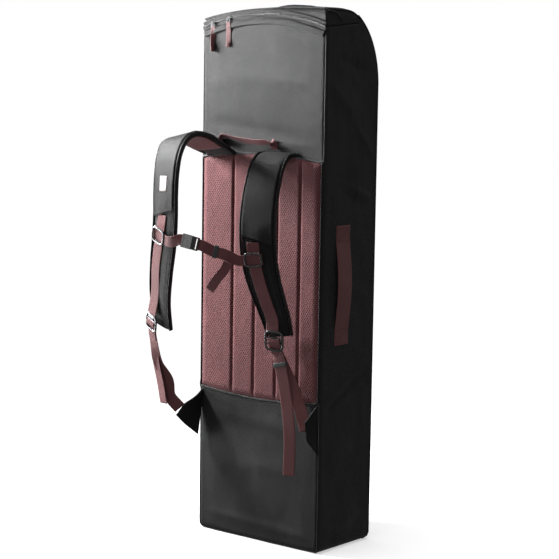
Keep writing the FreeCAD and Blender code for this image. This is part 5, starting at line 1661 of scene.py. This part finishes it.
    def keepers(self) -> None:
        """The grey elastic loops on the free ends."""
        for name, node, body, band in (
                ("tail_keeper_cloth", "strap_keeper_right", "tail_keeper", LINES["lower_webbing_right"]),
                ("chest_keeper_cloth", "sternum_keeper", "chest_keeper", LINES["sternum_webbing_right"])):
            low, high = (np.array(corner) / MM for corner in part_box(node))
            middle = (low + high) / 2
            rows = smooth_line(np.array(band, float), 3.0)
            across, out = line_directions(rows[:, :3], rows[:, 3:6])
            near = int(np.argmin(np.linalg.norm(rows[:, :3] - middle, axis=1)))
            a, o = across[near], out[near]
            along = np.cross(o, a)
            half, thick, long = rows[near, 6] / 2 + 1.6, 2.9, 12.0
            ring = []
            for turn in np.linspace(0, 2 * math.pi, 33):
                c, s = math.cos(turn), math.sin(turn)
                flat = (abs(c) ** 0.25) * math.copysign(1, c), (abs(s) ** 0.6) * math.copysign(1, s)
                ring.append((*(middle + a * flat[0] * half + o * flat[1] * thick), *along, long))
            piece = Band(thick=1.2, step=3.0, samples=7).build(name, tuple(ring))
            self.dresser.dress(piece, GREY_ELASTIC, body, node)

    def hardware(self, node: str, body: str, line: str, bars: tuple[float, ...], rod: float) -> None:
        """A moulded frame with rounded corners and cross bars, in place of a plain one.

        Args:
            node: The CAD node that it stands for.
            body: Its body.
            line: The webbing whose width it lies across.
            bars: Where its cross bars are, from -1 at the lower end to 1 at the upper end.
            rod: How thick its rim is.
        """
        plain = self.nodes[node]
        points = np.array([plain.matrix_world @ corner.co for corner in plain.data.vertices]) / MM
        rows = np.array(LINES[line], float)
        across, out = line_directions(rows[:, :3], rows[:, 3:6])
        near = int(np.argmin(np.linalg.norm(rows[:, :3] - points.mean(0), axis=1)))
        normal = np.linalg.svd(points - points.mean(0), full_matrices=False)[2][2]
        normal = normal * np.sign(normal @ out[near])
        wide_way = unit_rows((across[near] - normal * (across[near] @ normal))[None, :])[0]
        tall_way = np.cross(normal, wide_way)
        spans = [(points @ way).min() + (points @ way).max() for way in (wide_way, tall_way, normal)]
        centre = sum(way * span / 2 for way, span in zip((wide_way, tall_way, normal), spans))
        wide = np.ptp(points @ wide_way) / 2 - rod / 2
        tall = np.ptp(points @ tall_way) / 2 - rod / 2
        ring = []
        for turn in np.linspace(0, 2 * math.pi, 41):
            c, s = (abs(v) ** 0.42 * math.copysign(1, v) for v in (math.cos(turn), math.sin(turn)))
            ring.append((*(centre + wide_way * c * wide + tall_way * s * tall), *normal, rod * 0.86))
        piece = Band(thick=rod, fullness=3.6, step=2.0, samples=9).build(f"{node}_frame", tuple(ring))
        self.dresser.dress(piece, GUNMETAL, body, node)
        for number, share in enumerate(bars):
            middle = centre + tall_way * share * tall
            bar = tuple((*(middle + wide_way * w), *tall_way, rod * 0.8) for w in (-wide, 0.0, wide))
            piece = Band(thick=rod * 0.7, fullness=3.0, step=6.0, samples=9)
            piece = piece.build(f"{node}_bar_{number + 1}", bar)
            self.dresser.dress(piece, GUNMETAL, body)

    def handle_stitches(self) -> None:
        """Box stitching at the haul handle's ends."""
        rows = []
        for low, high in ((583.0, 620.0), (864.0, 901.0)):
            y0, y1, x = -58.0, -6.0, HALF_WIDE + 2.4
            corners = [(x, y0, low), (x, y1, low), (x, y1, high), (x, y0, high), (x, y0, low), (x, y1, high)]
            for a, b in zip(corners, corners[1:]):
                rows.append((np.array([a, b]), np.tile([1.0, 0.0, 0.0], (2, 1))))
        self.dresser.dress(make_stitches("haul_handle_stitches", rows), MAROON_THREAD, "bag")

    def build(self) -> None:
        """Builds the whole harness."""
        self.webbing()
        self.pad("left")
        self.pad("right")
        self.patch()
        self.wing("left", (-214.0, -122.8, 347.0, 0.0, 0.0, 1.0, 134.0),
                  (-221.0, -202.5, 360.0, 0.62, 0.12, 0.77, 41.5))
        self.wing("right", (214.0, -122.8, 347.0, 0.0, 0.0, 1.0, 134.0),
                  (186.5, -140.0, 346.0, 0.49, 0.08, 0.87, 46.3))
        self.keepers()
        self.handle_stitches()
        for side in ("left", "right"):
            webbing = f"shoulder_webbing_{side}"
            self.hardware(f"ladder_lock_{side}", f"lock_{side}", webbing, (-0.34, 0.0, 0.36), 6.4)
            self.hardware(f"sternum_slider_{side}", "sternum", webbing, (), 5.4)
        keep = self.dresser.keep
        keep(self.nodes, PALE_MOULDED, "buckle_socket")
        keep(self.nodes, BLACK_MOULDED, "buckle_plug", "buckle_prong_upper", "buckle_prong_lower")


@dataclass
class Interior:
    """What shows only when the lid is open."""

    dresser: Dresser
    nodes: dict[str, bpy.types.Object]

    def build(self) -> None:
        """Finishes the board, sheet, foam and inner straps."""
        self.dresser.keep(self.nodes, STIFF_SHEET, "base_board", "frame_sheet")
        self.dresser.keep(self.nodes, CELL_FOAM, "back_pad_foam")
        for name in ("lower", "higher"):
            node = f"inner_strap_{name}"
            low, high = (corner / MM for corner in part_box(node))
            middle = ((low.y + high.y) / 2, (low.z + high.z) / 2)
            stops = (low.x, (low.x + high.x) / 2, high.x)
            frames = tuple((x, *middle, 0.0, 0.0, 1.0, high.z - low.z) for x in stops)
            piece = Band(thick=1.8, step=12.0, ripple=0.2).build(f"{node}_cloth", frames)
            self.dresser.dress(piece, DARK_WEBBING, "bag", node)


# ---------------------------------------------------------------------------------------------
# Studio
# ---------------------------------------------------------------------------------------------
@dataclass
class Studio:
    """Pale floor, soft lights and the camera."""

    place: tuple[float, float, float] = (3.1011, -3.8013, 1.3201)
    turn_deg: float = 39.465
    down_deg: float = 6.791
    roll_deg: float = 0.889
    focal_px: float = 1741.26
    frame_px: float = 559.0
    sensor_mm: float = 36.0
    fill: float = 0.20

    def camera(self) -> None:
        """The camera, at standing height in front and to the right."""
        a, p, r = (math.radians(v) for v in (self.turn_deg, self.down_deg, self.roll_deg))
        forward = Vector((-math.sin(a) * math.cos(p), math.cos(a) * math.cos(p), -math.sin(p)))
        right = Vector((math.cos(a), math.sin(a), 0.0))
        up = right.cross(forward)
        rolled_right = right * math.cos(r) + up * math.sin(r)
        rolled_up = up * math.cos(r) - right * math.sin(r)
        data = bpy.data.cameras.new("camera")
        data.sensor_width = self.sensor_mm
        data.lens = self.focal_px * self.sensor_mm / self.frame_px
        data.clip_end = 50.0
        camera = bpy.data.objects.new("camera", data)
        turn = Matrix((rolled_right, rolled_up, -forward)).transposed().to_4x4()
        camera.matrix_world = Matrix.Translation(Vector(self.place)) @ turn
        bpy.context.scene.collection.objects.link(camera)
        bpy.context.scene.camera = camera

    def lamp(self, name: str, place: tuple[float, float, float], target: tuple[float, float, float],
             size: float, power: float) -> None:
        """One square soft light.

        Args:
            name: Its name.
            place: Where it is, in metres.
            target: What it faces.
            size: Its side.
            power: Its power in watts.
        """
        data = bpy.data.lights.new(name, "AREA")
        data.energy = power
        data.size = size
        lamp = bpy.data.objects.new(name, data)
        lamp.location = place
        lamp.visible_camera = False
        lamp.rotation_euler = (Vector(target) - Vector(place)).to_track_quat("-Z", "Y").to_euler()
        bpy.context.scene.collection.objects.link(lamp)

    def sun(self, name: str, heading: tuple[float, float, float], strength: float, spread_deg: float) -> None:
        """One wide, even light from far away.

        Args:
            name: Its name.
            heading: The way its light goes.
            strength: Its strength.
            spread_deg: How soft its shadows are, as the angle it fills.
        """
        data = bpy.data.lights.new(name, "SUN")
        data.energy = strength
        data.angle = math.radians(spread_deg)
        sun = bpy.data.objects.new(name, data)
        sun.rotation_euler = Vector(heading).to_track_quat("-Z", "Y").to_euler()
        bpy.context.scene.collection.objects.link(sun)

    def floor(self) -> None:
        """Wide pale floor."""
        material = bpy.data.materials.new("Studio paper")
        material.use_nodes = True
        shader = material.node_tree.nodes["Principled BSDF"]
        shader.inputs["Base Color"].default_value = (0.93, 0.93, 0.93, 1.0)
        shader.inputs["Roughness"].default_value = 0.9
        shader.inputs["Emission Color"].default_value = (1.0, 1.0, 1.0, 1.0)
        shader.inputs["Emission Strength"].default_value = 0.50
        mesh = bpy.data.meshes.new("studio_floor")
        far = 14.0
        mesh.from_pydata([(-far, -far, 0), (far, -far, 0), (far, far, 0), (-far, far, 0)], [], [(0, 1, 2, 3)])
        mesh.materials.append(material)
        floor = bpy.data.objects.new("studio_floor", mesh)
        bpy.context.scene.collection.objects.link(floor)
        floor.visible_diffuse = False
        floor.visible_glossy = False

    def build(self) -> None:
        """Sets the world, the floor, the lights and the camera."""
        world = bpy.data.worlds.new("studio")
        world.use_nodes = True
        graph = Graph(world.node_tree)
        background = world.node_tree.nodes["Background"]
        background.inputs["Color"].default_value = (1.0, 1.0, 1.0, 1.0)
        seen = graph.add("ShaderNodeLightPath").outputs["Is Camera Ray"]
        strength = graph.math("MULTIPLY_ADD", seen, 1.0 - self.fill, self.fill)
        graph.feed(background.inputs["Strength"], strength)
        bpy.context.scene.world = world
        bpy.context.scene.view_settings.view_transform = "Standard"
        self.floor()
        self.lamp("key", (-1.08, -0.47, 1.50), (0.05, -0.12, 1.0), 0.36, 66.0)
        self.lamp("low", (-1.30, -0.62, 0.45), (0.0, -0.12, 0.5), 0.5, 17.0)
        self.lamp("front", (0.2, -4.8, 1.8), (0.0, 0.0, 0.9), 1.6, 9.0)
        self.sun("overhead", (0.03, 0.05, -1.0), 1.3, 26.0)
        self.camera()


def main() -> None:
    """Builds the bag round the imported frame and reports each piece."""
    logging.basicConfig(level=logging.INFO, format="%(message)s")
    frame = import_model()
    dresser = Dresser()
    nodes = frame["nodes"]
    Shell(dresser).build()
    BackPad(dresser).build()
    Zips(dresser, nodes).build()
    Harness(dresser, nodes).build()
    Interior(dresser, nodes).build()
    Studio().build()


if __name__ == "__main__":
    main()
